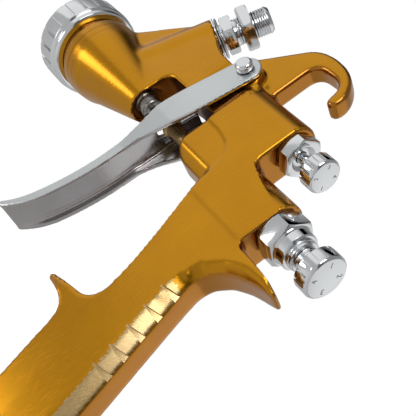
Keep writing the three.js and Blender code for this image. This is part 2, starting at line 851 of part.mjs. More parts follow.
/** Front view of the trigger: wide arms that close in to the finger pull. */
function triggerFront(wide, narrow, top, bottom) {
  const right = [[wide, top], [wide, -1], [narrow, -20], [narrow, bottom]];
  const left = right.map(([y, z]) => [-y, z]).reverse();
  return outline([...right, ...left]);
}

function trigger() {
  const whole = plate(triggerShape(), ARM_OUT, 0.3);
  const outer = frontPlate(triggerFront(ARM_OUT, PULL_OUT, 40, -72), -40, 20);
  const inner = frontPlate(triggerFront(ARM_IN, PULL_OUT - SHEET - 0.2, WEB_TOP + 0.5, -75), -40, 20);
  const hollow = inner.intersect(plate(pullHollowShape(), ARM_OUT));
  const between = block([-30, 20], [-ARM_IN, ARM_IN], [WEB_TOP, 45]);
  const slot = join(
    block([-20, 0], [-2.2, 2.2], [-3.4, WEB_TOP + 2]),
    rod([-20, 0, -3.4], [0, 0, -3.4], 2.2, 16),
  );
  const pivot = rod([PIVOT_X, -15, PIVOT_Z], [PIVOT_X, 15, PIVOT_Z], PIN_R + GAP, SMALL_SIDES);
  return cut(whole.intersect(outer), hollow, between, slot, pivot);
}

/** Places a pin that was turned about X on the pivot, with its head on the left side. */
function onPivot(piece) {
  return piece.rotate([0, 0, 90]).translate([PIVOT_X, 0, PIVOT_Z]);
}

function pivotPin() {
  const under = -(ARM_OUT + GAP); // underside of the head
  const profile = turned([
    [under - 3.1, 0],
    [under - 3.1, 2.5],
    [under - 2.7, 2.9],
    [under - 2.1, PIN_HEAD_R],
    [under, PIN_HEAD_R],
    [under, PIN_R],
    [ARM_OUT - 0.2, PIN_R],
    [ARM_OUT - 0.2, 0],
  ], 28);
  return onPivot(cut(profile, bar(3, ARM_OUT + 2, 1.5, 0, 16)));
}

function pivotScrew() {
  const under = ARM_OUT + GAP;
  const head = turned([
    [under, 0],
    [under, PIN_HEAD_R],
    [under + 1.5, PIN_HEAD_R],
    [under + 2.1, 2.6],
    [under + 2.1, 0],
  ]);
  const slot = block([under + 1.3, under + 3], [-5, 5], [-0.5, 0.5]);
  return onPivot(cut(join(bar(4, under + 0.5, 1.2, 0, 16), head), slot));
}

add('trigger', trigger(), CHROME);
add('trigger_pivot_pin', pivotPin(), CHROME);
add('trigger_pivot_screw', pivotScrew(), CHROME);

// ---------------------------------------------------------------------------------------------
// Air inlet at the foot of the handle
// ---------------------------------------------------------------------------------------------

function airInlet() {
  const stem = turned([
    [-13, 0],
    [-13, 5.8],
    [1, 5.8],
    [7, 5.8],
    [7, 5.7],
    [8.2, 5.7],
    [8.2, 6.5],
    [17, 6.5],
    [18, 5.6],
    [18, 0],
  ]);
  const whole = join(stem, hexBar(1, 7, 17));
  return onHandle(cut(whole, bar(-15, 20, 4, 0, SMALL_SIDES)));
}

add('air_inlet_nipple', airInlet(), CHROME);
add('air_inlet_gasket', onHandle(tube(0.25, 0.75, 8, 6.2)), PTFE);

group.position.copy(HANGING_POINT).negate();

export default group;
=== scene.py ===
"""Looks of a gravity-feed spray gun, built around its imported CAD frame.

The gold body casting, the trigger and every fitting that shows are modelled here over the fixed
CAD nodes. Lengths are in millimetres from the gun's own datum: the needle axis and a plane across
it just in front of the rear block, with the nozzle towards -X and the knobs towards +X.
"""

import logging
import math
from collections.abc import Callable, Sequence
from dataclasses import dataclass
from enum import Enum

import bpy
from mathutils import Matrix, Vector

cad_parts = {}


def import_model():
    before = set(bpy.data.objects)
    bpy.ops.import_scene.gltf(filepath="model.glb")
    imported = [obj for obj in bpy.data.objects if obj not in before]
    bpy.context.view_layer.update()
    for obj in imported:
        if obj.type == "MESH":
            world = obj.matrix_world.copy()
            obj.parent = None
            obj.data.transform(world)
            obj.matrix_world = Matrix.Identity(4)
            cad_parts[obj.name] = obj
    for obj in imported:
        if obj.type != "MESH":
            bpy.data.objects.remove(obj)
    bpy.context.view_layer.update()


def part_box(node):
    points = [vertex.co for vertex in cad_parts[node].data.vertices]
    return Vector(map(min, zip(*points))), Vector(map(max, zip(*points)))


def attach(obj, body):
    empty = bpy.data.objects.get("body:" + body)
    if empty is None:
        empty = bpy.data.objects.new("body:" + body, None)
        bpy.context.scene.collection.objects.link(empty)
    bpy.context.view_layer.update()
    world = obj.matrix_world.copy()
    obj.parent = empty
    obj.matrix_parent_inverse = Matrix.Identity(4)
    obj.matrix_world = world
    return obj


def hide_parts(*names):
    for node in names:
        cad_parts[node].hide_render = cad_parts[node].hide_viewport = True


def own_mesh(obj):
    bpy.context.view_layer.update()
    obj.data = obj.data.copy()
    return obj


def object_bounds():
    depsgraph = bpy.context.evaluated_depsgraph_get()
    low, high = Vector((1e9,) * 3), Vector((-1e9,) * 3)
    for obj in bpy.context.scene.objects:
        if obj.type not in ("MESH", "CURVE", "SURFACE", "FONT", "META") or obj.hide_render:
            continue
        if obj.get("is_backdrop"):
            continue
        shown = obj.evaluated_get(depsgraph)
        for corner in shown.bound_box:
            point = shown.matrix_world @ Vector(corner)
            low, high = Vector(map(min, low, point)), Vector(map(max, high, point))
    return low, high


MM = 0.001
GLAND_FACE = 4.6  # front face of the air valve's gland plug, in millimetres from the datum
LOG = logging.getLogger("spray_gun")
Outline = Sequence[tuple[float, float]]


class Boolean(Enum):
    """How one solid changes another."""

    ADD = "UNION"
    CUT = "DIFFERENCE"
    KEEP = "INTERSECT"


class Grain(Enum):
    """Direction in which a surface was brushed or turned, as stretches along X, Y and Z."""

    UP = (1.0, 1.0, 0.05)
    AROUND_X = (1.0, 0.12, 0.12)
    EVEN = (1.0, 1.0, 1.0)


@dataclass(frozen=True)
class Datum:
    """The gun's reference axes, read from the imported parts, in metres.

    Args:
        x: Plane across the needle axis, just in front of the rear block.
        needle_z: Height of the needle axis.
        pattern_z: Height of the pattern valve axis.
    """

    x: float
    needle_z: float
    pattern_z: float

    @classmethod
    def read(cls) -> "Datum":
        """Reads the axes from the CAD boxes.

        Returns:
            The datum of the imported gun.
        """
        knob_low, knob_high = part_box("fluid_knob")
        pattern_low, pattern_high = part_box("pattern_knob")
        return cls(
            x=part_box("air_valve_gland")[0].x - GLAND_FACE * MM,
            needle_z=(knob_low.z + knob_high.z) / 2,
            pattern_z=(pattern_low.z + pattern_high.z) / 2,
        )

    def at(self, x: float, y: float, z: float) -> Vector:
        """Turns millimetres from the datum into metres in the row frame."""
        return Vector((self.x + x * MM, y * MM, self.needle_z + z * MM))

    def needle(self) -> Matrix:
        """Matrix that lays a piece turned about Z on the needle axis."""
        return Matrix.Translation(self.at(0, 0, 0)) @ Matrix.Rotation(math.pi / 2, 4, "Y")

    def pattern(self) -> Matrix:
        """Matrix that lays a piece turned about Z on the pattern valve axis."""
        origin = Vector((self.x, 0, self.pattern_z))
        return Matrix.Translation(origin) @ Matrix.Rotation(math.pi / 2, 4, "Y")

    @staticmethod
    def leaning(node: str, lean: float, offset: float) -> Matrix:
        """Matrix of a leaning axis that passes through the middle of a washer.

        Args:
            node: CAD washer on the axis.
            lean: Turn about Y from straight up, in degrees.
            offset: Distance from the axis's zero to the middle of the washer, in millimetres.

        Returns:
            The matrix of the leaning axis.
        """
        low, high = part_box(node)
        turn = Matrix.Rotation(math.radians(lean), 4, "Y")
        middle = (low + high) / 2 - (turn @ Vector((0, 0, 1))) * offset * MM
        return Matrix.Translation(middle) @ turn

    @staticmethod
    def pivot() -> Matrix:
        """Matrix of the trigger pivot; the zero is the middle plane and +Z runs to the right."""
        low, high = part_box("trigger_pivot_pin")
        middle = Vector(((low.x + high.x) / 2, 0, (low.z + high.z) / 2))
        return Matrix.Translation(middle) @ Matrix.Rotation(-math.pi / 2, 4, "X")


def thread(
    start: float, end: float, pitch: float, root: float, crest: float
) -> list[tuple[float, float]]:
    """Lays out the ridges of a thread as stations of a turned piece.

    Args:
        start: Place of the first root in millimetres.
        end: Place that no root passes.
        pitch: Distance between two roots.
        root: Radius at the roots.
        crest: Radius at the crests.

    Returns:
        The (place, radius) stations, root and crest in turn.
    """
    stations = []
    place = start
    while place < end:
        stations += [(place, root), (place + pitch / 2, crest)]
        place += pitch
    return stations


class Shop:
    """Hand tools: each one adds, shapes or finishes a mesh with Blender's own operators."""

    @staticmethod
    def clear() -> None:
        """Leaves edit mode and deselects everything."""
        if bpy.context.object and bpy.context.object.mode != "OBJECT":
            bpy.ops.object.mode_set(mode="OBJECT")
        bpy.ops.object.select_all(action="DESELECT")

    @staticmethod
    def pick(piece: bpy.types.Object) -> None:
        """Makes one object the only selected and the active one."""
        Shop.clear()
        piece.select_set(True)
        bpy.context.view_layer.objects.active = piece

    @staticmethod
    def apply(piece: bpy.types.Object, kind: str, **settings: object) -> None:
        """Adds a modifier to a piece and applies it.

        Args:
            piece: Object to change.
            kind: Blender's modifier type.
            **settings: Values of the modifier's own settings.
        """
        Shop.pick(piece)
        modifier = piece.modifiers.new(kind.title(), kind)
        for key, value in settings.items():
            setattr(modifier, key, value)
        bpy.ops.object.modifier_apply(modifier=modifier.name)

    @staticmethod
    def mend(piece: bpy.types.Object) -> None:
        """Merges doubled points and turns every face outwards."""
        Shop.pick(piece)
        bpy.ops.object.mode_set(mode="EDIT")
        bpy.ops.mesh.select_all(action="SELECT")
        bpy.ops.mesh.remove_doubles(threshold=2e-6)
        bpy.ops.mesh.normals_make_consistent(inside=False)
        bpy.ops.object.mode_set(mode="OBJECT")

    @staticmethod
    def place(piece: bpy.types.Object, matrix: Matrix) -> bpy.types.Object:
        """Moves a piece and puts its place into its mesh.

        Args:
            piece: Object to move.
            matrix: Its new place.

        Returns:
            The moved piece, whose object sits at the origin.
        """
        piece.matrix_world = matrix
        Shop.pick(piece)
        bpy.ops.object.transform_apply(location=True, rotation=True, scale=True)
        return piece

    @staticmethod
    def turned(name: str, stations: Outline, sides: int = 96) -> bpy.types.Object:
        """Turns a round piece about Z.

        Args:
            name: Name of the new object.
            stations: (place along the axis, radius) in millimetres. When the last station is the
                first one again, the piece is a closed ring, and otherwise its ends are capped.
            sides: Number of sides.

        Returns:
            The new object.
        """
        Shop.clear()
        ring = stations[0] == stations[-1]
        along, radius = stations[0]
        bpy.ops.mesh.primitive_circle_add(
            vertices=sides,
            radius=radius * MM,
            fill_type="NOTHING" if ring else "NGON",
            location=(0, 0, along * MM),
        )
        piece = bpy.context.object
        piece.name = name
        bpy.ops.object.transform_apply(location=True)
        bpy.ops.object.mode_set(mode="EDIT")
        bpy.ops.mesh.select_all(action="SELECT")
        for station in stations[1:]:
            step = (0, 0, (station[0] - along) * MM)
            bpy.ops.mesh.extrude_region_move(TRANSFORM_OT_translate={"value": step})
            if station[1] != radius:
                share = station[1] / radius
                middle = (0, 0, station[0] * MM)
                bpy.ops.transform.resize(value=(share, share, 1), center_override=middle)
            along, radius = station
        Shop.mend(piece)
        return piece

    @staticmethod
    def prism(name: str, corners: Outline, low: float, high: float) -> bpy.types.Object:
        """Extrudes a side view along Y.

        Args:
            name: Name of the new object.
            corners: (x, z) of each corner in millimetres.
            low: Lower end along Y.
            high: Upper end along Y.

        Returns:
            The new object.
        """
        Shop.clear()
        bpy.ops.mesh.primitive_plane_add(size=MM, location=(0, 0, 0))
        piece = bpy.context.object
        piece.name = name
        bpy.ops.object.mode_set(mode="EDIT")
        bpy.ops.mesh.select_all(action="SELECT")
        bpy.ops.mesh.merge(type="CENTER")
        spot = Vector((0, 0, 0))
        for index, (x, z) in enumerate(corners):
            target = Vector((x, low, z)) * MM
            if index == 0:
                bpy.ops.transform.translate(value=target - spot)
            else:
                step = {"value": target - spot}
                bpy.ops.mesh.extrude_vertices_move(TRANSFORM_OT_translate=step)
            spot = target
        bpy.ops.mesh.select_all(action="SELECT")
        bpy.ops.mesh.edge_face_add()
        bpy.ops.mesh.extrude_region_move(
            TRANSFORM_OT_translate={"value": (0, (high - low) * MM, 0)}
        )
        Shop.mend(piece)
        return piece

    @staticmethod
    def block(name: str, spans: Outline, turn: Matrix = Matrix.Identity(4)) -> bpy.types.Object:
        """Adds a plain tool block.

        Args:
            name: Name of the new object.
            spans: (lowest, highest) along X, Y and Z in millimetres.
            turn: Matrix applied after the block has its size.

        Returns:
            The new object.
        """
        Shop.clear()
        middle = [(a + b) / 2 * MM for a, b in spans]
        bpy.ops.mesh.primitive_cube_add(size=1, location=middle)
        piece = bpy.context.object
        piece.name = name
        piece.scale = [(b - a) * MM for a, b in spans]
        bpy.ops.object.transform_apply(location=True, rotation=True, scale=True)
        return Shop.place(piece, turn)

    @staticmethod
    def hexagon(
        name: str, low: float, high: float, flats: float, turn: float = 0.0
    ) -> bpy.types.Object:
        """Makes a hexagon along Z with coned corners at both ends.

        Args:
            name: Name of the new object.
            low: Lower end in millimetres.
            high: Upper end.
            flats: Size across flats.
            turn: Turn about the axis in radians.

        Returns:
            The new object.
        """
        Shop.clear()
        corner = flats / math.sqrt(3)
        bpy.ops.mesh.primitive_cylinder_add(
            vertices=6,
            radius=corner * MM,
            depth=(high - low) * MM,
            location=(0, 0, (low + high) / 2 * MM),
            rotation=(0, 0, math.pi / 6 + turn),
        )
        piece = bpy.context.object
        piece.name = name
        bpy.ops.object.transform_apply(location=True, rotation=True)
        chamfer = (corner - flats / 2) * 0.95
        slope = chamfer * 0.55
        cone = [
            (low, corner - chamfer),
            (low + slope, corner + 0.05),
            (high - slope, corner + 0.05),
            (high, corner - chamfer),
        ]
        Shop.boolean(piece, Shop.turned("cone", cone, 120), Boolean.KEEP)
        return piece

    @staticmethod
    def boolean(
        piece: bpy.types.Object, tool: bpy.types.Object, how: Boolean = Boolean.CUT
    ) -> bpy.types.Object:
        """Changes a piece by a tool, which is used up.

        Args:
            piece: Object to change.
            tool: Object that is added, cut away or kept.
            how: What the tool does.

        Returns:
            The changed piece.
        """
        Shop.apply(piece, "BOOLEAN", operation=how.value, object=tool, solver="EXACT")
        bpy.data.objects.remove(tool)
        return piece

    @staticmethod
    def bore(piece: bpy.types.Object, low: float, high: float, radius: float) -> None:
        """Bores a round hole along Z, with its ends and radius in millimetres."""
        Shop.boolean(piece, Shop.turned("drill", [(low, radius), (high, radius)], 64))

    @staticmethod
    def around(tool: bpy.types.Object, count: int) -> bpy.types.Object:
        """Repeats a tool about Z and joins the copies into one.

        Args:
            tool: Object to repeat; it becomes the joined result.
            count: How many there are in a full turn.

        Returns:
            The joined object.
        """
        copies = []
        for index in range(1, count):
            copy = tool.copy()
            copy.data = tool.data.copy()
            bpy.context.scene.collection.objects.link(copy)
            Shop.place(copy, Matrix.Rotation(2 * math.pi * index / count, 4, "Z"))
            copies.append(copy)
        Shop.pick(tool)
        for copy in copies:
            copy.select_set(True)
        bpy.ops.object.join()
        return tool

    @staticmethod
    def from_node(node: str, name: str) -> bpy.types.Object:
        """Copies a CAD node's solid so that it can be finished by hand.

        Args:
            node: CAD node to copy.
            name: Name of the new object.

        Returns:
            The copy, with its points merged.
        """
        source = bpy.data.objects[node]
        piece = bpy.data.objects.new(name, source.data.copy())
        bpy.context.scene.collection.objects.link(piece)
        piece.data.materials.clear()
        Shop.pick(piece)
        bpy.ops.object.mode_set(mode="EDIT")
        bpy.ops.mesh.select_all(action="SELECT")
        bpy.ops.mesh.remove_doubles(threshold=5e-6)
        bpy.ops.object.mode_set(mode="OBJECT")
        return piece

    @staticmethod
    def soften(
        piece: bpy.types.Object,
        repeats: int,
        inside: Callable[[Vector], bool] | None = None,
    ) -> None:
        """Rounds the edges of a finely meshed piece.

        Args:
            piece: Object to round.
            repeats: How far the rounding goes.
            inside: Test that says which points are rounded, or None for all.
        """
        group = ""
        if inside is not None:
            members = [v.index for v in piece.data.vertices if inside(v.co)]
            vertex_group = piece.vertex_groups.new(name="soft")
            vertex_group.add(members, 1.0, "REPLACE")
            group = vertex_group.name
        Shop.apply(piece, "SMOOTH", factor=0.5, iterations=repeats, vertex_group=group)
        piece.vertex_groups.clear()

    @staticmethod
    def finish(
        piece: bpy.types.Object, bevel: float = 0.12, angle: float = 32.0
    ) -> bpy.types.Object:
        """Breaks the sharp edges of a machined piece and shades it.

        Args:
            piece: Object to finish.
            bevel: Width of the broken edge in millimetres.
            angle: Sharpest angle, in degrees, that still shades as one surface.

        Returns:
            The finished piece.
        """
        if bevel > 0:
            Shop.apply(
                piece,
                "BEVEL",
                width=bevel * MM,
                segments=2,
                limit_method="ANGLE",
                angle_limit=math.radians(28),
                use_clamp_overlap=True,
            )
        Shop.pick(piece)
        bpy.ops.object.shade_smooth_by_angle(angle=math.radians(angle))
        return piece


# ---------------------------------------------------------------------------------------------
# Finishes
# ---------------------------------------------------------------------------------------------


MADE: dict[str, bpy.types.Material] = {}


class Nodes:
    """Builds a material's node tree step by step."""

    def __init__(self, name: str) -> None:
        """Starts a material with one Principled shader.

        Args:
            name: Name of the material.
        """
        self.material = bpy.data.materials.new(name)
        self.material.use_nodes = True
        self.tree = self.material.node_tree
        self.shader = self.tree.nodes["Principled BSDF"]
        self.coords = self.tree.nodes.new("ShaderNodeTexCoord").outputs["Object"]

    def noise(
        self, scale: float, stretch: Sequence[float], detail: float = 3.0
    ) -> bpy.types.NodeSocket:
        """Adds a noise pattern on the object's own coordinates.

        Args:
            scale: Waves per metre.
            stretch: Share of the scale along X, Y and Z.
            detail: Octaves of finer noise.

        Returns:
            The pattern's value socket.
        """
        mapping = self.tree.nodes.new("ShaderNodeMapping")
        mapping.inputs["Scale"].default_value = [scale * share for share in stretch]
        self.tree.links.new(self.coords, mapping.inputs["Vector"])
        noise = self.tree.nodes.new("ShaderNodeTexNoise")
        noise.inputs["Scale"].default_value = 1.0
        noise.inputs["Detail"].default_value = detail
        self.tree.links.new(mapping.outputs["Vector"], noise.inputs["Vector"])
        return noise.outputs["Fac"]

    def spread(
        self, source: bpy.types.NodeSocket, low: float, high: float, span: float = 0.25
    ) -> bpy.types.NodeSocket:
        """Maps the middle of a pattern onto a range of values.

        Args:
            source: Pattern with values around one half.
            low: Value at the lower end.
            high: Value at the upper end.
            span: How far from one half the ends lie.

        Returns:
            The mapped value socket.
        """
        node = self.tree.nodes.new("ShaderNodeMapRange")
        node.inputs["From Min"].default_value = 0.5 - span
        node.inputs["From Max"].default_value = 0.5 + span
        node.inputs["To Min"].default_value = low
        node.inputs["To Max"].default_value = high
        self.tree.links.new(source, node.inputs["Value"])
        return node.outputs["Result"]

    def math(
        self, operation: str, first: bpy.types.NodeSocket, second: bpy.types.NodeSocket | float
    ) -> bpy.types.NodeSocket:
        """Joins two values by a calculation.

        Args:
            operation: Blender's name of the calculation.
            first: First value.
            second: Second value, a socket or a plain number.

        Returns:
            The result's socket.
        """
        node = self.tree.nodes.new("ShaderNodeMath")
        node.operation = operation
        self.tree.links.new(first, node.inputs[0])
        if isinstance(second, (int, float)):
            node.inputs[1].default_value = second
        else:
            self.tree.links.new(second, node.inputs[1])
        return node.outputs["Value"]

    def mix(
        self,
        factor: bpy.types.NodeSocket,
        first: Sequence[float] | bpy.types.NodeSocket,
        second: Sequence[float],
    ) -> bpy.types.NodeSocket:
        """Blends two colours by a factor.

        Args:
            factor: 0 gives the first colour and 1 the second.
            first: A colour, or the socket of one.
            second: A colour.

        Returns:
            The blended colour's socket.
        """
        node = self.tree.nodes.new("ShaderNodeMix")
        node.data_type = "RGBA"
        colours = [socket for socket in node.inputs if socket.type == "RGBA"]
        self.tree.links.new(factor, node.inputs[0])
        if isinstance(first, bpy.types.NodeSocket):
            self.tree.links.new(first, colours[0])
        else:
            colours[0].default_value = (*first, 1.0)
        colours[1].default_value = (*second, 1.0)
        return [socket for socket in node.outputs if socket.type == "RGBA"][0]

    def edges(self, low: float, high: float) -> bpy.types.NodeSocket:
        """Finds worn edges.

        Args:
            low: Pointiness that still counts as flat.
            high: Pointiness of a sharp outer edge.

        Returns:
            A socket that is 0 on flats and 1 on sharp outer edges.
        """
        geometry = self.tree.nodes.new("ShaderNodeNewGeometry")
        node = self.tree.nodes.new("ShaderNodeMapRange")
        node.inputs["From Min"].default_value = low
        node.inputs["From Max"].default_value = high
        self.tree.links.new(geometry.outputs["Pointiness"], node.inputs["Value"])
        return node.outputs["Result"]

    def bump(self, height: bpy.types.NodeSocket, depth: float, strength: float) -> None:
        """Lets a pattern raise the surface.

        Args:
            height: Pattern that raises it.
            depth: Greatest rise in metres.
            strength: Share of the rise that shows.
        """
        node = self.tree.nodes.new("ShaderNodeBump")
        node.inputs["Distance"].default_value = depth
        node.inputs["Strength"].default_value = strength
        self.tree.links.new(height, node.inputs["Height"])
        self.tree.links.new(node.outputs["Normal"], self.shader.inputs["Normal"])

    def link(self, source: bpy.types.NodeSocket, target: str) -> None:
        """Feeds one of the shader's inputs."""
        self.tree.links.new(source, self.shader.inputs[target])

    def set(self, **values: object) -> None:
        """Sets the shader's own inputs; an underscore stands for a space."""
        for key, value in values.items():
            self.shader.inputs[key.replace("_", " ")].default_value = value


@dataclass(frozen=True)
class Metal:
    """A metal finish with grain, cloudy tone and worn edges.

    Args:
        name: Name of the material.
        colour: Reflected colour.
        tone: Second colour that clouds the first.
        roughness: Lowest and highest roughness.
        grain: Direction of the brushing or turning marks.
        grain_scale: Marks per metre.
        depth: Depth of the marks in metres.
        wear: Colour of worn edges.
        wear_amount: How strongly the edges are worn.
        coat: Strength of a clear layer over the metal.
        streak: How far the marks darken the colour.
    """

    name: str
    colour: tuple[float, float, float]
    tone: tuple[float, float, float]
    roughness: tuple[float, float]
    grain: Grain = Grain.EVEN
    grain_scale: float = 3000.0
    depth: float = 0.00001
    wear: tuple[float, float, float] = (0.9, 0.88, 0.84)
    wear_amount: float = 0.15
    coat: float = 0.0
    streak: float = 0.25

    def make(self) -> bpy.types.Material:
        """Builds the material.

        Returns:
            The finished material.
        """
        if self.name in MADE:
            return MADE[self.name]
        nodes = Nodes(self.name)
        marks = nodes.noise(self.grain_scale, self.grain.value, 4.0)
        clouds = nodes.noise(55.0, (1, 1, 1), 4.0)
        colour = nodes.mix(nodes.spread(clouds, 0.0, 1.0), self.colour, self.tone)
        dull = tuple(share * 0.8 for share in self.colour)
        colour = nodes.mix(nodes.spread(marks, self.streak, 0.0), colour, dull)
        worn = nodes.math("MULTIPLY", nodes.edges(0.53, 0.66), nodes.spread(clouds, 0.3, 1.0))
        worn = nodes.math("MULTIPLY", worn, self.wear_amount)
        nodes.link(nodes.mix(worn, colour, self.wear), "Base Color")
        low, high = self.roughness
        rough = nodes.math("MULTIPLY", nodes.spread(marks, low, high), 0.7)
        cloudy = nodes.math("MULTIPLY", nodes.spread(clouds, low, high), 0.3)
        nodes.link(nodes.math("ADD", rough, cloudy), "Roughness")
        nodes.bump(marks, self.depth, 0.5)
        nodes.set(Metallic=1.0)
        if self.coat > 0:
            nodes.set(Coat_Weight=self.coat, Coat_Roughness=0.12, Coat_IOR=1.5)
        MADE[self.name] = nodes.material
        return nodes.material


@dataclass(frozen=True)
class Soft:
    """A rubber or plastic finish with fine moulded texture.

    Args:
        name: Name of the material.
        colour: Main colour.
        tone: Second colour that clouds the first.
        roughness: Lowest and highest roughness.
    """

    name: str
    colour: tuple[float, float, float]
    tone: tuple[float, float, float]
    roughness: tuple[float, float]

    def make(self) -> bpy.types.Material:
        """Builds the material.

        Returns:
            The finished material.
        """
        if self.name in MADE:
            return MADE[self.name]
        nodes = Nodes(self.name)
        texture = nodes.noise(2500.0, (1, 1, 1), 4.0)
        clouds = nodes.noise(120.0, (1, 1, 1), 3.0)
        nodes.link(nodes.mix(nodes.spread(clouds, 0, 1), self.colour, self.tone), "Base Color")
        nodes.link(nodes.spread(texture, *self.roughness), "Roughness")
        nodes.bump(texture, 0.00003, 0.4)
        MADE[self.name] = nodes.material
        return nodes.material


GOLD = Metal(
    "brushed_gold",
    (0.64, 0.285, 0.007),
    (0.56, 0.235, 0.006),
    (0.19, 0.31),
    grain=Grain.UP,
    grain_scale=5200.0,
    depth=0.00003,
    wear=(0.86, 0.66, 0.26),
    wear_amount=0.4,
    coat=0.2,
    streak=0.7,
)
# as-cast finish of the faces that aren't brushed, its colour darkened below the brushed gold as painted
# shade on the rear faces
GOLD_CAST_PAINTED_SHADE = Metal(
    "cast_gold_painted_shade",
    (0.52, 0.21, 0.018),
    (0.44, 0.17, 0.02),
    (0.16, 0.26),
    grain_scale=1500.0,
    wear=(0.8, 0.6, 0.25),
    wear_amount=0.4,
    coat=0.3,
)
# painted highlight: a pale cream gold for the handle's rear bevels, so they stay pale as if lit from any
# side
GOLD_PAINTED_HIGHLIGHT = Metal(
    "pale_gold_painted_highlight",
    (0.76, 0.54, 0.26),
    (0.68, 0.44, 0.15),
    (0.2, 0.3),
    grain=Grain.UP,
    grain_scale=5200.0,
    depth=0.00003,
    coat=0.3,
    streak=0.5,
)
# painted shade: a near-black brown gold for the faces inside the recess behind the trigger
GOLD_PAINTED_SHADE = Metal(
    "painted_shade_gold",
    (0.17, 0.05, 0.004),
    (0.11, 0.032, 0.003),
    (0.3, 0.42),
    grain_scale=1500.0,
    depth=0.00002,
    wear_amount=0.0,
)
CHROME = Metal(
    "bright_chrome",
    (0.82, 0.835, 0.845),
    (0.75, 0.765, 0.78),
    (0.07, 0.16),
    grain=Grain.AROUND_X,
    grain_scale=2600.0,
    depth=0.000004,
    wear=(0.95, 0.95, 0.94),
)
SATIN = Metal(
    "satin_plate",
    (0.88, 0.9, 0.91),
    (0.81, 0.83, 0.84),
    (0.3, 0.42),
    grain_scale=2400.0,
    wear=(0.95, 0.95, 0.94),
)
PRESSED = Metal(
    "plated_sheet",
    (0.66, 0.685, 0.685),
    (0.6, 0.625, 0.63),
    (0.3, 0.42),
    grain_scale=2400.0,
)
# painted shade: a darker plated sheet for the trigger's inside faces, which stand in shade between the
# arms
SHEET_PAINTED_SHADE = Metal(
    "plated_sheet_painted_shade",
    (0.4, 0.375, 0.37),
    (0.5, 0.485, 0.49),
    (0.14, 0.26),
    grain_scale=1200.0,
)
STEEL = Metal(
    "turned_steel",
    (0.36, 0.34, 0.32),
    (0.3, 0.285, 0.27),
    (0.2, 0.34),
    grain=Grain.AROUND_X,
)
BRASS = Metal(
    "turned_brass",
    (0.63, 0.44, 0.2),
    (0.5, 0.34, 0.16),
    (0.2, 0.36),
    grain=Grain.AROUND_X,
    wear=(0.85, 0.72, 0.45),
)
WIRE = Metal("spring_wire", (0.4, 0.41, 0.42), (0.32, 0.33, 0.34), (0.25, 0.38))
INK = Soft("dial_figures", (0.16, 0.165, 0.17), (0.22, 0.225, 0.23), (0.45, 0.6))
SEAL = Soft("white_seal", (0.8, 0.79, 0.75), (0.72, 0.71, 0.68), (0.45, 0.6))
RUBBER = Soft("black_seal", (0.02, 0.02, 0.022), (0.03, 0.03, 0.03), (0.6, 0.75))

Finish = Metal | Soft


def fit(
    piece: bpy.types.Object, finish: Finish, body: str, slot: str, *nodes: str
) -> bpy.types.Object:
    """Dresses a finished piece and joins it to the gun.

    Args:
        piece: Object to fit.
        finish: Its finish.
        body: CAD body that it rides on.
        slot: Material slot of the record; not used.
        *nodes: CAD nodes that it replaces.

    Returns:
        The fitted piece.
    """
    if not piece.data.materials:
        piece.data.materials.append(finish.make())
    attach(piece, body)
    if nodes:
        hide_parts(*nodes)
    LOG.info("%s: %d faces on %s", piece.name, len(piece.data.polygons), body)
    return piece


# ---------------------------------------------------------------------------------------------
# Sub-assemblies
# ---------------------------------------------------------------------------------------------


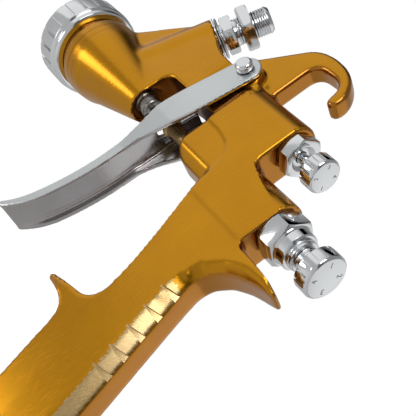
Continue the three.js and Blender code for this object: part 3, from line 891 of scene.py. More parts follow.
@dataclass
class BodyCasting:
    """The gold body: barrel, cup tower, hook, valve bosses and handle in one casting.

    Args:
        datum: The gun's axes.
        voxel: Mesh size of the casting in millimetres.
        half: Half width of the handle.
        groove_places: Turned grooves behind the barrel's lip.
        nick_heights: Heights of the finger nicks on the handle's rear bevel.
        nick_width: Width of a nick at the rear edge.
        nick_depth: Depth of a nick.
        cone_tip: Place along X where the barrel's cone would end in a point.
        cone_slope: Radius that the cone gains in each millimetre.
        handle_lean: Lean of the handle's rear edge, as a tangent.
    """

    datum: Datum
    voxel: float = 0.72
    half: float = 8.2
    groove_places: tuple[float, ...] = (-63.4, -66.6)
    nick_heights: tuple[float, ...] = (-39.6, -47.4, -55.0, -62.4, -69.4)
    nick_width: float = 2.5
    nick_depth: float = 0.85
    cone_tip: float = 2.7
    cone_slope: float = 0.2606
    handle_lean: float = 18.5 / 66

    # shallow steps in both flanks: outline of the lowered area and its depth
    STEPS = (
        ([(3, 10), (15, 9), (20, 7.5), (23.5, 4), (25, 0), (26, -5), (27, -12), (3, -12)], 0.45),
        ([(28, -12.6), (61, -12.6), (61, -30), (90, -130), (40, -130), (28, -60)], 0.25),
    )

    # finishes in the order of the casting's material slots
    COATS = (GOLD, GOLD_CAST_PAINTED_SHADE, GOLD_PAINTED_SHADE, GOLD_PAINTED_HIGHLIGHT)

    def build(self) -> bpy.types.Object:
        """Makes the casting and dresses it.

        Returns:
            The finished casting.
        """
        piece = Shop.from_node("gun_body", "body_casting")
        self.step_sides(piece)
        Shop.apply(piece, "REMESH", mode="VOXEL", voxel_size=self.voxel * MM)
        Shop.soften(piece, 6)
        Shop.soften(piece, 9, self.is_palm)
        Shop.soften(piece, 26, self.is_root)
        self.cut_details(piece)
        Shop.pick(piece)
        bpy.ops.object.shade_smooth_by_angle(angle=math.radians(38))
        self.dress(piece)
        return fit(piece, GOLD, "body", "anodised_gold", "gun_body")

    def local(self, point: Vector) -> tuple[float, float, float]:
        """Turns a point of the row frame into millimetres from the datum."""
        place = (point - self.datum.at(0, 0, 0)) / MM
        return place.x, place.y, place.z

    def is_palm(self, point: Vector) -> bool:
        """Says whether a point lies on the rounded rear of the handle or on the spur."""
        x, _, z = self.local(point)
        return z < -14.5 and x > 52.6 + max(0.0, -z - 34) * 0.24

    def is_root(self, point: Vector) -> bool:
        """Says whether a point lies where the cup tower grows out of the barrel."""
        x, y, z = self.local(point)
        return -66 < x < -27 and 5 < z < 24 and abs(y) > 4 and not (x > -31 and z < 14)

    def step_sides(self, piece: bpy.types.Object) -> None:
        """Cuts the shallow steps into both flanks.

        Args:
            piece: The body before it is meshed finely.
        """
        for side in (-1, 1):
            for outline, depth in self.STEPS:
                low, high = sorted((side * (self.half - depth), side * (self.half + 2)))
                tool = Shop.prism("step", outline, low, high)
                Shop.boolean(piece, Shop.place(tool, Matrix.Translation(self.datum.at(0, 0, 0))))
            Shop.boolean(piece, self.slope(side))
            Shop.boolean(piece, self.under_facet(side))

    def under_facet(self, side: int) -> bpy.types.Object:
        """Makes the tool that flattens the barrel's underside and leaves a crease along it.

        Args:
            side: -1 for the left facet, 1 for the right one.

        Returns:
            A block whose face passes through the tip of the barrel's cone.
        """
        middle = math.radians(60)
        half_spread = math.radians(15)
        along, across, off = (-64, -28), (-9, 9), (0, 6)
        lean = math.atan(self.cone_slope * math.cos(half_spread))
        turn = Matrix.Translation(self.datum.at(self.cone_tip, 0, 0))
        turn = turn @ Matrix.Rotation(-side * (math.pi / 2 + middle), 4, "X")
        turn = turn @ Matrix.Rotation(lean, 4, "Y")
        return Shop.block("facet", [along, across, off], turn)

    def slope(self, side: int) -> bpy.types.Object:
        """Makes the tool that slopes the front of the lower handle away from its crease.

        Args:
            side: -1 for the left flank, 1 for the right one.

        Returns:
            A block with one face on the sloping plane.
        """
        lean = math.atan2(10, 33)
        fall = math.radians(2.5)
        turn = Matrix.Translation(self.datum.at(41, side * (self.half - 0.25), -52))
        turn = turn @ Matrix.Rotation(-lean, 4, "Y")
        turn = turn @ Matrix.Rotation(side * fall, 4, "Z")
        depth = sorted((0.0, side * 6.0))
        return Shop.block("slope", [(-30, 0), tuple(depth), (-75, 0)], turn)

    def cut_details(self, piece: bpy.types.Object) -> None:
        """Cuts the lip grooves and the finger nicks into the finely meshed body.

        Args:
            piece: The rounded body.
        """
        for place in self.groove_places:
            ring = [
                (place, 16.55),
                (place - 0.5, 19),
                (place + 0.5, 19),
                (place, 16.55),
            ]
            tool = Shop.place(Shop.turned("groove", ring, 120), self.datum.needle())
            Shop.boolean(piece, tool)
        for side in (-1, 1):
            for height in self.nick_heights:
                Shop.boolean(piece, self.nick(side, height))

    def nick(self, side: int, height: float) -> bpy.types.Object:
        """Makes the tool for one nick across the handle's rear bevel.

        Args:
            side: -1 for the left bevel, 1 for the right one.
            height: Height of the nick's middle.

        Returns:
            A wedge laid into the bevel, narrow at the flank.
        """
        lean = math.atan(self.handle_lean)
        rear = 59.3 + (-height - 42) * self.handle_lean
        bevel = math.atan2(3.7, 5.2)
        middle = self.datum.at(rear - 2.6, side * 6.4, height + 0.6)
        turn = Matrix.Translation(middle) @ Matrix.Rotation(-lean, 4, "Y")
        turn = turn @ Matrix.Rotation(-side * bevel, 4, "Z")
        half = self.nick_width / 2
        low, high = sorted((-side * self.nick_depth, side * 3.0))
        wedge = [(-4.6, -0.1), (2.9, -half), (2.9, half), (-4.6, 0.3)]
        return Shop.place(Shop.prism("nick", wedge, low, high), turn)

    def dress(self, piece: bpy.types.Object) -> None:
        """Brushes the flanks, paints a pale highlight on the rear bevels, paints shade into the recess
        behind the trigger and leaves the other faces as cast, in a gold darkened as painted shade.

        Args:
            piece: The finished body.
        """
        for finish in self.COATS:
            piece.data.materials.append(finish.make())
        for face in piece.data.polygons:
            face.material_index = self.COATS.index(self.coat_of(face))

    def coat_of(self, face: bpy.types.MeshPolygon) -> Metal:
        """Chooses the finish of one face of the casting.

        Args:
            face: The face.

        Returns:
            Its finish.
        """
        x, y, _ = self.local(face.center)
        flank = abs(face.normal.y) > 0.45 and abs(y) > 4
        # faces lining the recess take the dark gold of the painted shade
        if not flank and self.lines_window(face):
            return GOLD_PAINTED_SHADE
        # the rear bevels take the pale gold of the painted highlight
        if self.is_rear_bevel(face):
            return GOLD_PAINTED_HIGHLIGHT
        # the remaining faces behind the barrel take the cast gold, darkened as painted shade
        return GOLD if flank or x < -29 else GOLD_CAST_PAINTED_SHADE

    def lines_window(self, face: bpy.types.MeshPolygon) -> bool:
        """Says whether a face lines the recess behind and above the trigger, which takes painted shade.

        Args:
            face: A face that isn't on a flank.

        Returns:
            True when it looks into the recess.
        """
        x, y, z = self.local(face.center)
        near = -33 < x < 7 and abs(y) < 7.9 and -7.6 < z < 13.4
        facing = face.normal.z < -0.3 or abs(face.normal.x) > 0.5 or abs(y) < 5.6
        before_block = x < 4.9 or abs(y) < 5.5
        behind_barrel = x > -27 or face.normal.x > 0.5
        return near and facing and before_block and behind_barrel

    def is_rear_bevel(self, face: bpy.types.MeshPolygon) -> bool:
        """Says whether a face lies on one of the handle's two rear bevels, which take a painted
        highlight.
        """
        x, _, z = self.local(face.center)
        outward = Vector((0.553, math.copysign(0.819, face.normal.y), 0.155))
        return x > 50 and z < -36 and face.normal.dot(outward) > 0.965


@dataclass
class Trigger:
    """The plated sheet trigger with its pivot pin and screw.

    Args:
        voxel: Mesh size of the sheet in millimetres.
        head: Radius of the pin's round head.
        outer: Distance from the middle plane to the outer face of an arm.
        blade_drop: Distance from the top of the arms down to the start of the blade.
        blade_half: Half width of the part of the blade that is rounded most.
    """

    voxel: float = 0.38
    head: float = 3.3
    outer: float = 10.7
    blade_drop: float = 36.0
    blade_half: float = 6.2

    def build(self) -> None:
        """Makes the trigger and its pivot."""
        piece = Shop.from_node("trigger", "trigger_sheet")
        Shop.apply(piece, "REMESH", mode="VOXEL", voxel_size=self.voxel * MM)
        Shop.soften(piece, 9)
        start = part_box("trigger")[1].z - self.blade_drop * MM
        width = self.blade_half * MM
        Shop.soften(piece, 30, lambda point: point.z < start and abs(point.y) < width)
        Shop.pick(piece)
        bpy.ops.object.shade_smooth_by_angle(angle=math.radians(40))
        for finish in (PRESSED, CHROME, SHEET_PAINTED_SHADE):
            piece.data.materials.append(finish.make())
        for face in piece.data.polygons:
            flank = abs(face.normal.y) > 0.55 and abs(face.center.y) > 6.9 * MM
            outside = 0 if flank else 1
            # inside faces take the darker sheet of the painted shade
            face.material_index = 2 if self.is_inside(face) else outside
        fit(piece, PRESSED, "trigger", "chrome", "trigger")
        self.build_pivot()

    @staticmethod
    def is_inside(face: bpy.types.MeshPolygon) -> bool:
        """Says whether a face lines the hollow side of the trigger or faces the gun's middle, which
        takes painted shade.

        Args:
            face: The face.

        Returns:
            True when it is on the inside of the sheet.
        """
        out = abs(face.center.y)
        turned_in = face.center.y * face.normal.y < -0.3 * out
        return (out < 9.2 * MM and turned_in) or (out < 8.5 * MM and face.normal.x > 0.2)

    def build_pivot(self) -> None:
        """Makes the pin with its button head and the slotted screw in its other end."""
        under = -self.outer
        button = [
            (under - 3.1, self.head - 0.9),
            (under - 2.75, self.head - 0.35),
            (under - 2.1, self.head),
            (under - 0.6, self.head),
            (under, self.head - 0.2),
            (under, 2.5),
            (10.2, 2.5),
        ]
        pin = Shop.turned("pivot_pin", button)
        Shop.bore(pin, 3, 12, 1.5)
        Shop.finish(Shop.place(pin, Datum.pivot()), 0.15)
        fit(pin, CHROME, "body", "chrome", "trigger_pivot_pin")
        shank = [
            (4, 1.2),
            (self.outer, 1.2),
            (self.outer, self.head),
            (self.outer + 1.4, self.head),
            (self.outer + 2.1, 2.5),
        ]
        screw = Shop.turned("pivot_screw", shank)
        slot = [(-5, 5), (-0.5, 0.5), (self.outer + 1.3, self.outer + 3)]
        Shop.boolean(screw, Shop.block("slot", slot))
        Shop.finish(Shop.place(screw, Datum.pivot()), 0.12)
        fit(screw, CHROME, "body", "chrome", "trigger_pivot_screw")


@dataclass
class Knob:
    """A grooved adjusting knob with a dial of four figures.

    Args:
        front: Front end of the head.
        face: Rear face.
        radius: Radius of the head.
        first: Place of figure 1 around the face, in degrees.
        height: Height of the figures.
        grooves: Number of grooves.
    """

    front: float
    face: float
    radius: float
    first: float
    height: float
    grooves: int = 16

    def head(self, name: str) -> bpy.types.Object:
        """Turns the head and mills its grooves.

        Args:
            name: Name of the piece.

        Returns:
            The head on the Z axis.
        """
        rim = self.radius
        piece = Shop.turned(
            name,
            [
                (self.front, rim - 1.1),
                (self.front + 0.9, rim),
                (self.face - 1.0, rim),
                (self.face - 0.55, rim - 0.2),
                (self.face - 0.15, rim - 0.6),
                (self.face, rim - 1.0),
            ],
            128,
        )
        groove = [(rim - 0.55, rim + 1), (-0.38, 0.38), (self.front - 1, self.face - 1.5)]
        tool = Shop.around(Shop.block("groove", groove), self.grooves)
        return Shop.boolean(piece, tool)

    @staticmethod
    def dress(head: bpy.types.Object) -> None:
        """Leaves the rear face satin and the rest of a knob bright."""
        head.data.materials.append(CHROME.make())
        head.data.materials.append(SATIN.make())
        rear = max(vertex.co.x for vertex in head.data.vertices) - 0.2 * MM
        for face in head.data.polygons:
            face.material_index = int(face.normal.x > 0.97 and face.center.x > rear)

    def figures(self, name: str, axis: Matrix, body: str) -> None:
        """Sets the dial figures 1 to 4 clockwise on the rear face.

        Args:
            name: Start of each figure's name.
            axis: Matrix of the knob's axis.
            body: CAD body that they ride on.
        """
        for index in range(4):
            Shop.clear()
            bpy.ops.object.text_add()
            text = bpy.context.object
            text.data.body = str(index + 1)
            text.data.size = self.height * 1.4 * MM
            text.data.extrude = 0.04 * MM
            text.data.resolution_u = 4
            text.data.align_x = "CENTER"
            text.data.align_y = "CENTER"
            bpy.ops.object.convert(target="MESH")
            figure = bpy.context.object
            figure.name = f"{name}_figure_{index + 1}"
            angle = math.radians(self.first - 90 * index)
            reach = self.radius * 0.62 * MM
            spot = Vector((reach * math.cos(angle), reach * math.sin(angle), self.face * MM))
            turn = Matrix.Rotation(angle - math.pi / 2, 4, "Z")
            Shop.place(figure, axis @ Matrix.Translation(spot) @ turn)
            fit(figure, INK, body, "chrome")


@dataclass
class NeedleEnd:
    """Guide, knob and dial at the rear end of the needle.

    Args:
        datum: The gun's axes.
        flats: Size of the guide's hexagon across flats.
        hex_turn: Turn of the hexagon about the axis in radians.
    """

    datum: Datum
    flats: float = 16.0
    hex_turn: float = 0.35

    def build(self) -> None:
        """Makes the guide and the knob."""
        profile = [
            (46.4, 5.95),
            (57.9, 5.95),
            (57.9, 7.7),
            (64.2, 7.7),
            (65.2, 7.35),
            (65.5, 6.9),
            (68.5, 6.9),
            (68.95, 6.5),
            (68.95, 5.3),
            (69.35, 5.3),
            (69.5, 5.75),
            (69.95, 5.75),
            (70.1, 5.3),
            (70.4, 5.3),
            (70.55, 5.6),
            (71.0, 5.6),
            (71.2, 5.2),
        ]
        guide = Shop.turned("fluid_guide_nut", profile)
        nut = Shop.hexagon("nut", 57.9, 64.8, self.flats, self.hex_turn)
        Shop.boolean(guide, nut, Boolean.ADD)
        Shop.bore(guide, 45, 73, 4.1)
        Shop.finish(Shop.place(guide, self.datum.needle()), 0.12)
        fit(guide, CHROME, "body", "chrome", "fluid_guide")
        knob = Knob(front=75.4, face=82.0, radius=8.0, first=-125, height=2.1)
        head = knob.head("fluid_knob_head")
        stem = [(50, 3.8), (71.5, 3.8), (71.75, 4.35), (72.6, 4.35), (73, 3.8), (76, 3.8)]
        Shop.boolean(head, Shop.turned("stem", stem), Boolean.ADD)
        Shop.bore(head, 45, 71.5, 2.9)
        Shop.finish(Shop.place(head, self.datum.needle()), 0.1)
        Knob.dress(head)
        fit(head, CHROME, "fluid_knob", "chrome", "fluid_knob")
        knob.figures("fluid_knob", self.datum.needle(), "fluid_knob")


@dataclass
class PatternValve:
    """Guide, stem, knob and dial of the pattern valve.

    Args:
        datum: The gun's axes.
        flats: Size of the guide's hexagon across flats.
        hex_turn: Turn of the hexagon about the axis in radians.
    """

    datum: Datum
    flats: float = 14.0
    hex_turn: float = 0.2

    def build(self) -> None:
        """Makes the guide, the stem and the knob."""
        axis = self.datum.pattern()
        guide = Shop.turned("pattern_guide_nut", [(26.2, 5.0), (36, 5.0)])
        nut = Shop.hexagon("nut", 35.2, 39.6, self.flats, self.hex_turn)
        Shop.boolean(guide, nut, Boolean.ADD)
        dish = [(38.2, 2.9), (38.35, 3.6), (38.9, 4.3), (39.7, 4.9), (41, 5.1)]
        Shop.boolean(guide, Shop.turned("dish", dish))
        Shop.bore(guide, 25, 42, 2.3)
        Shop.finish(Shop.place(guide, axis), 0.12)
        fit(guide, CHROME, "body", "chrome", "pattern_guide")
        stem = [
            (13.5, 0.3),
            (17, 2.0),
            (24.2, 2.0),
            (24.2, 1.4),
            (25.1, 1.4),
            (25.1, 2.0),
            (42.6, 2.0),
            (43, 1.4),
            (48.6, 1.4),
        ]
        rod = Shop.finish(Shop.place(Shop.turned("pattern_stem_rod", stem, 64), axis), 0.1)
        fit(rod, CHROME, "pattern_valve", "stainless", "pattern_stem")
        knob = Knob(front=44.9, face=51.4, radius=6.5, first=55, height=1.7)
        head = knob.head("pattern_knob_head")
        collar = [(43.4, 2.4), (43.7, 2.8), (45.6, 2.8)]
        Shop.boolean(head, Shop.turned("collar", collar), Boolean.ADD)
        Shop.bore(head, 42, 48.8, 1.7)
        Shop.finish(Shop.place(head, axis), 0.1)
        Knob.dress(head)
        fit(head, CHROME, "pattern_valve", "chrome", "pattern_knob")
        knob.figures("pattern_knob", axis, "pattern_valve")


@dataclass
class CupFitting:
    """Nipple, washer and lock nut that carry the gravity cup.

    Args:
        lean: Backward lean of the socket in degrees.
        pitch: Pitch of the nipple's thread.
    """

    lean: float = 20.0
    pitch: float = 1.0

    def build(self) -> None:
        """Makes the three pieces of the fitting."""
        axis = Datum.leaning("cup_nipple_washer", self.lean, 0.45)
        profile = [(-8.4, 5.6), (0.9, 5.6), (0.9, 7.6), (1.2, 8.3), (1.5, 8.6), (1.8, 8.3), (2.1, 7.6)]
        profile += [(2.1, 5.4), (8.2, 5.4)]
        profile += thread(8.4, 21.4, self.pitch, 5.05, 5.6)
        profile += [(21.8, 5.2), (22.6, 4.6)]
        nipple = Shop.turned("cup_nipple_stem", profile)
        nut = Shop.hexagon("nut", 2.8, 7.3, 14, 0.1)
        Shop.boolean(nipple, nut, Boolean.ADD)
        Shop.bore(nipple, -10, 24, 3.1)
        Shop.finish(Shop.place(nipple, axis), 0.08)
        fit(nipple, CHROME, "body", "chrome", "cup_nipple")
        washer = [(0.2, 5.9), (0.2, 8.7), (0.35, 8.8), (0.55, 8.8), (0.7, 8.7), (0.7, 5.9), (0.2, 5.9)]
        plate = Shop.finish(Shop.place(Shop.turned("cup_washer", washer), axis), 0)
        fit(plate, CHROME, "body", "chrome", "cup_nipple_washer")
        lock = Shop.hexagon("cup_lock_hexagon", 10.2, 14.8, 17, 0.25)
        Shop.bore(lock, 9, 16, 5.9)
        Shop.finish(Shop.place(lock, axis), 0.12)
        fit(lock, CHROME, "body", "chrome", "cup_lock_nut")


@dataclass
class AirInlet:
    """Nipple at the foot of the handle that takes the air hose.

    Args:
        lean: Turn of its axis about Y from straight up, in degrees.
        pitch: Pitch of the hose thread.
    """

    lean: float = 164.0
    pitch: float = 1.34

    def build(self) -> None:
        """Makes the nipple."""
        axis = Datum.leaning("air_inlet_gasket", self.lean, 0.5)
        profile = [(-13, 5.8), (7, 5.8), (7, 5.7), (8.2, 5.7)]
        profile += thread(8.4, 16.6, self.pitch, 5.85, 6.5)
        profile += [(17.2, 6.0), (18, 5.5)]
        nipple = Shop.turned("air_inlet_stem", profile)
        Shop.boolean(nipple, Shop.hexagon("nut", 1, 7, 17), Boolean.ADD)
        Shop.bore(nipple, -15, 20, 4)
        Shop.finish(Shop.place(nipple, axis), 0.1)
        fit(nipple, CHROME, "body", "chrome", "air_inlet_nipple")


@dataclass
class NozzleEnd:
    """Cap ring, air cap and fluid nozzle at the front of the barrel.

    Args:
        datum: The gun's axes.
        radius: Radius of the ring.
        grooves: Number of grip grooves around the ring.
    """

    datum: Datum
    radius: float = 19.6
    grooves: int = 20

    def build(self) -> None:
        """Makes the ring, the cap and the nozzle."""
        self.build_ring()
        self.build_cap()
        nozzle = [
            (-60, 5.8),
            (-76.3, 5.8),
            (-76.3, 8.4),
            (-80, 8.4),
            (-81, 7.2),
            (-84.5, 6.2),
            (-91.8, 1.9),
            (-93, 1.6),
        ]
        piece = Shop.turned("fluid_nozzle_body", nozzle)
        throat = [(-94, 0.95), (-91.5, 0.95), (-88, 2.2), (-59, 2.2)]
        Shop.boolean(piece, Shop.turned("throat", throat, 64))
        hole = Shop.turned("hole", [(-74, 0.7), (-83, 0.7)], 20)
        Shop.place(hole, Matrix.Translation((7 * MM, 0, 0)))
        Shop.boolean(piece, Shop.around(hole, 8))
        Shop.finish(Shop.place(piece, self.datum.needle()), 0.08)
        fit(piece, STEEL, "body", "stainless", "fluid_nozzle")

    def build_ring(self) -> None:
        """Turns the ring and mills its grip grooves."""
        rim = self.radius
        shell = [
            (-74.3, 15.9),
            (-74.3, 18.0),
            (-74.7, 18.7),
            (-75.5, 19.1),
            (-76.6, 19.1),
            (-77.0, 18.6),
            (-77.5, 18.6),
            (-77.9, rim - 0.3),
            (-78.4, rim),
            (-88.6, rim),
            (-89.8, 19.2),
            (-91.0, 18.2),
            (-91.5, 17.4),
            (-91.5, 12.9),
            (-91.2, 12.7),
            (-87.6, 12.7),
            (-87.6, 15.9),
            (-74.3, 15.9),
        ]
        ring = Shop.turned("cap_ring_shell", shell, 160)
        groove = [(rim - 0.75, rim + 1), (-0.65, 0.65), (-93, -78.9)]
        Shop.boolean(ring, Shop.around(Shop.block("groove", groove), self.grooves))
        Shop.finish(Shop.place(ring, self.datum.needle()), 0.14)
        fit(ring, CHROME, "cap_ring", "chrome", "air_cap_ring")

    def build_cap(self) -> None:
        """Turns the air cap's dish and adds its two horns and their jets."""
        dish = [
            (-84.4, 9.2),
            (-84.4, 15.2),
            (-86.2, 15.2),
            (-86.2, 12.4),
            (-92.9, 12.4),
            (-93.5, 11.6),
            (-93.5, 2.6),
            (-92.5, 2.1),
            (-91.9, 2.4),
            (-88.5, 7.8),
            (-84.4, 9.2),
        ]
        cap = Shop.turned("air_cap_dish", dish)
        wedge = [(-92.5, 7.2), (-92.5, 11.8), (-98.5, 10.6), (-98.5, 8.6)]
        turn = Matrix.Rotation(math.pi / 2, 4, "Y").inverted()
        for side in (1, -1):
            outline = [(x, z * side) for x, z in wedge]
            horn = Shop.prism("horn", outline, -4.2, 4.2)
            Shop.apply(horn, "BEVEL", width=0.7 * MM, segments=3)
            Shop.boolean(cap, Shop.place(horn, turn), Boolean.ADD)
        # start and end (out, along) of each jet's hole, and its radius
        jets = (((10.2, -90), (9.4, -99.5), 0.7), ((6.2, -94.5), (7, -90.3), 0.5))
        for side in (1, -1):
            for start, end, width in jets:
                low = Vector((side * start[0], 0, start[1])) * MM
                high = Vector((side * end[0], 0, end[1])) * MM
                drill = Shop.turned("drill", [(0, width), ((high - low).length / MM, width)], 24)
                aim = (high - low).to_track_quat("Z", "Y").to_matrix().to_4x4()
                Shop.boolean(cap, Shop.place(drill, Matrix.Translation(low) @ aim))
        Shop.finish(Shop.place(cap, self.datum.needle()), 0.1)
        fit(cap, BRASS, "cap", "brass", "air_cap")


@dataclass
class WindowParts:
    """Packing screw, needle, valve shaft and gland plug in and behind the trigger window.

    Args:
        datum: The gun's axes.
    """

    datum: Datum

    def build(self) -> None:
        """Makes the four pieces."""
        axis = self.datum.needle()
        screw = [(-33, 4.4), (-32.8, 4.6), (-30.6, 4.6), (-30.3, 4.3)]
        screw += thread(-30.0, -25.6, 1.0, 3.95, 4.3)
        screw += [(-25, 4.3), (-24.5, 3.9)]
        piece = Shop.turned("packing_screw_body", screw, 64)
        Shop.bore(piece, -40, -20, 1.65)
        Shop.boolean(piece, Shop.block("slot", [(-6, 6), (-0.6, 0.6), (-26.2, -20)]))
        Shop.finish(Shop.place(piece, axis), 0.06)
        fit(piece, STEEL, "body", "stainless", "packing_screw")
        needle = [(-94.2, 0.12), (-88, 1.25), (60, 1.25), (60.8, 0.7)]
        rod = Shop.finish(Shop.place(Shop.turned("needle_rod", needle, 48), axis), 0.05)
        fit(rod, STEEL, "needle", "stainless", "fluid_needle")
        profile = [
            (-12.2, 3.1),
            (-11.2, 3.8),
            (-9.8, 3.8),
            (-9.6, 2.9),
            (18.5, 2.9),
        ]
        shaft = Shop.turned("air_valve_sleeve", profile, 64)
        Shop.bore(shaft, -14, 20, 1.6)
        Shop.finish(Shop.place(shaft, axis), 0.1)
        fit(shaft, BRASS, "air_valve", "brass", "air_valve_shaft")
        gland = Shop.turned("gland_plug", [(GLAND_FACE, 4.7), (GLAND_FACE + 0.4, 5.05), (9.8, 5.05)], 64)
        Shop.bore(gland, 0, 12, 3.2)
        slot = [(-0.6, 0.6), (-6, 6), (GLAND_FACE - 1, GLAND_FACE + 1)]
        Shop.boolean(gland, Shop.block("slot", slot))
        Shop.finish(Shop.place(gland, axis), 0.06)
        fit(gland, STEEL, "body", "stainless", "air_valve_gland")


class InnerParts:
    """Finishes of the CAD nodes that stay as they are inside the gun."""

    DRESSED: dict[str, Finish] = {
        "air_baffle": BRASS,
        "air_cap_clip": WIRE,
        "needle_packing": SEAL,
        "shaft_o_ring": RUBBER,
        "air_valve_seat": BRASS,
        "air_valve_poppet": BRASS,
        "needle_collar": BRASS,
        "fluid_guide_gasket": SEAL,
        "pattern_guide_gasket": SEAL,
        "pattern_clip": WIRE,
        "air_inlet_gasket": SEAL,
    }

    # spring, the joint that presses it and the joint's travel in metres
    SPRINGS = (
        ("air_valve_spring", "air_valve_slide", 0.0065),
        ("needle_spring", "needle_slide", 0.0041),
    )

    def build_springs(self) -> None:
        """Makes the two coil springs from copies of their CAD coils."""
        for node, joint, travel in self.SPRINGS:
            coil = Shop.from_node(node, f"{node}_coil")
            Shop.soften(coil, 1)
            Shop.pick(coil)
            bpy.ops.object.shade_smooth()
            fit(coil, WIRE, "body", "spring_steel", node)
            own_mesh(coil)

    def dress(self) -> None:
        """Gives each remaining CAD node its finish."""
        for node, finish in self.DRESSED.items():
            mesh = bpy.data.objects[node].data
            mesh.materials.clear()
            mesh.materials.append(finish.make())
            LOG.info("%s: dressed as %s", node, finish.name)


# ---------------------------------------------------------------------------------------------
# Studio
# ---------------------------------------------------------------------------------------------


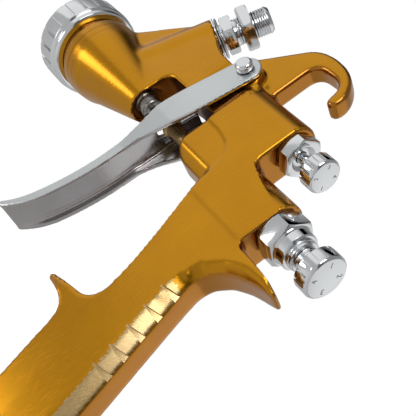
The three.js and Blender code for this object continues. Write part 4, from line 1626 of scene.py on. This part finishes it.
@dataclass
class Studio:
    """Floor, soft lights, surroundings and camera.

    Args:
        datum: The gun's axes.
        lens: Focal length in millimetres on a 36 mm wide sensor.
        floor_drop: Distance from the gun's foot down to the floor in metres.
        floor_glow: How much brighter the floor is to the eye than in reflections.
        right: Direction to the right of the view.
        up: Direction to the top of the view.
        back: Direction from the gun to the camera.
        stand: Place of the camera in millimetres from the datum.
        heart: Place that the lights face, likewise.
    """

    datum: Datum
    lens: float = 69.23
    floor_drop: float = 0.3
    floor_glow: float = 0.62
    right: tuple[float, float, float] = (0.5234, 0.3022, 0.7967)
    up: tuple[float, float, float] = (-0.5495, -0.5949, 0.5866)
    back: tuple[float, float, float] = (0.6512, -0.7448, -0.1452)
    stand: tuple[float, float, float] = (206.14, -199.45, -50.08)
    heart: tuple[float, float, float] = (15.0, 0.0, -10.0)

    # direction in the camera's axes, cosines where a panel starts and is full, brightness
    PANELS = (
        ((0.0, 0.0, 1.0), -3.0, -2.0, 0.34),
        ((-0.45, 0.886, 0.11), 0.55, 0.92, 0.74),
        ((0.68, -0.72, -0.15), 0.7, 0.95, 0.68),
        ((0.0, 0.0, -1.0), 0.25, 0.75, 0.36),
        ((0.29, 0.70, -0.65), 0.78, 0.92, -0.42),
        ((-0.8, -0.2, 0.55), 0.6, 0.7, -0.2),
        ((0.2, -0.4, 0.9), 0.8, 0.88, -0.22),
    )

    def build(self) -> None:
        """Sets up the whole studio."""
        view = bpy.context.scene.view_settings
        view.view_transform = "Standard"
        view.look = "None"
        self.place_camera()
        self.lay_floor()
        self.surround()
        self.light("left_softbox", (-0.88, 0.38, 0.19), 0.55, (0.22, 0.15), 0.4)
        self.light("top_softbox", (0.32, 0.51, 0.79), 0.6, (0.3, 0.3), 1.0)

    def place_camera(self) -> None:
        """Places the camera that looks up at the knob end from the left."""
        data = bpy.data.cameras.new("camera")
        data.sensor_width = 36.0
        data.lens = self.lens
        data.clip_start = 0.005
        camera = bpy.data.objects.new("camera", data)
        bpy.context.scene.collection.objects.link(camera)
        turn = Matrix((self.right, self.up, self.back)).transposed().to_4x4()
        camera.matrix_world = Matrix.Translation(self.datum.at(*self.stand)) @ turn
        bpy.context.scene.camera = camera

    def lay_floor(self) -> None:
        """Lays the plain pale floor."""
        Shop.clear()
        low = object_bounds()[0]
        bpy.ops.mesh.primitive_plane_add(size=30, location=(0, 0, low[2] - self.floor_drop))
        floor = bpy.context.object
        floor.name = "floor"
        nodes = Nodes("pale_floor")
        nodes.set(Base_Color=(0.93, 0.93, 0.93, 1), Roughness=0.9)
        nodes.set(Emission_Color=(1, 1, 1, 1))
        sight = nodes.tree.nodes.new("ShaderNodeLightPath").outputs["Is Camera Ray"]
        seen = nodes.math("MULTIPLY", sight, self.floor_glow)
        nodes.link(nodes.math("ADD", seen, 0.12), "Emission Strength")
        floor.data.materials.append(nodes.material)
        floor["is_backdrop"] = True

    def direction(self, across: float, upward: float, towards: float) -> Vector:
        """Turns a direction from the camera's own axes into the row frame.

        Args:
            across: Share to the right of the view.
            upward: Share to the top of the view.
            towards: Share towards the camera.

        Returns:
            The direction as a unit vector.
        """
        axes = (Vector(self.right), Vector(self.up), Vector(self.back))
        return sum((a * s for a, s in zip(axes, (across, upward, towards))), Vector()).normalized()

    def light(
        self,
        name: str,
        aim: tuple[float, float, float],
        distance: float,
        size: tuple[float, float],
        power: float,
    ) -> None:
        """Adds a soft rectangular light that faces the gun.

        Args:
            name: Name of the light.
            aim: Direction from the gun to the light, in the camera's axes.
            distance: Distance in metres.
            size: Width and height in metres.
            power: Power in watts.
        """
        data = bpy.data.lights.new(name, "AREA")
        data.shape = "RECTANGLE"
        data.size, data.size_y = size
        data.energy = power
        lamp = bpy.data.objects.new(name, data)
        bpy.context.scene.collection.objects.link(lamp)
        along = self.direction(*aim)
        place = self.datum.at(*self.heart) + along * distance
        turn = along.to_track_quat("Z", "Y").to_matrix().to_4x4()
        lamp.matrix_world = Matrix.Translation(place) @ turn

    def surround(self) -> None:
        """Makes the surroundings: a white backdrop, and a soft dark side that metals mirror."""
        world = bpy.data.worlds.new("studio")
        bpy.context.scene.world = world
        world.use_nodes = True
        tree = world.node_tree
        tree.nodes.clear()
        coords = tree.nodes.new("ShaderNodeTexCoord").outputs["Generated"]
        total: bpy.types.NodeSocket | None = None
        for aim, start, full, gain in self.PANELS:
            dot = tree.nodes.new("ShaderNodeVectorMath")
            dot.operation = "DOT_PRODUCT"
            dot.inputs[1].default_value = tuple(self.direction(*aim))
            tree.links.new(coords, dot.inputs[0])
            ramp = tree.nodes.new("ShaderNodeMapRange")
            ramp.interpolation_type = "SMOOTHSTEP"
            ramp.inputs["From Min"].default_value = start
            ramp.inputs["From Max"].default_value = full
            ramp.inputs["To Max"].default_value = gain
            tree.links.new(dot.outputs["Value"], ramp.inputs["Value"])
            if total is None:
                total = ramp.outputs["Result"]
                continue
            add = tree.nodes.new("ShaderNodeMath")
            tree.links.new(total, add.inputs[0])
            tree.links.new(ramp.outputs["Result"], add.inputs[1])
            total = add.outputs["Value"]
        studio = tree.nodes.new("ShaderNodeBackground")
        tree.links.new(total, studio.inputs["Strength"])
        backdrop = tree.nodes.new("ShaderNodeBackground")
        backdrop.inputs["Strength"].default_value = 1.0
        backdrop.inputs["Color"].default_value = (1, 1, 1, 1)
        sight = tree.nodes.new("ShaderNodeLightPath").outputs["Is Camera Ray"]
        mix = tree.nodes.new("ShaderNodeMixShader")
        tree.links.new(sight, mix.inputs[0])
        tree.links.new(studio.outputs[0], mix.inputs[1])
        tree.links.new(backdrop.outputs[0], mix.inputs[2])
        output = tree.nodes.new("ShaderNodeOutputWorld")
        tree.links.new(mix.outputs[0], output.inputs["Surface"])


def main() -> None:
    """Builds the gun piece by piece inside its studio."""
    logging.basicConfig(level=logging.INFO, format="%(name)s %(message)s")
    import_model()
    datum = Datum.read()
    Studio(datum).build()
    BodyCasting(datum).build()
    Trigger().build()
    NeedleEnd(datum).build()
    PatternValve(datum).build()
    CupFitting().build()
    AirInlet().build()
    NozzleEnd(datum).build()
    WindowParts(datum).build()
    InnerParts().build_springs()
    InnerParts().dress()


if __name__ == "__main__":
    main()
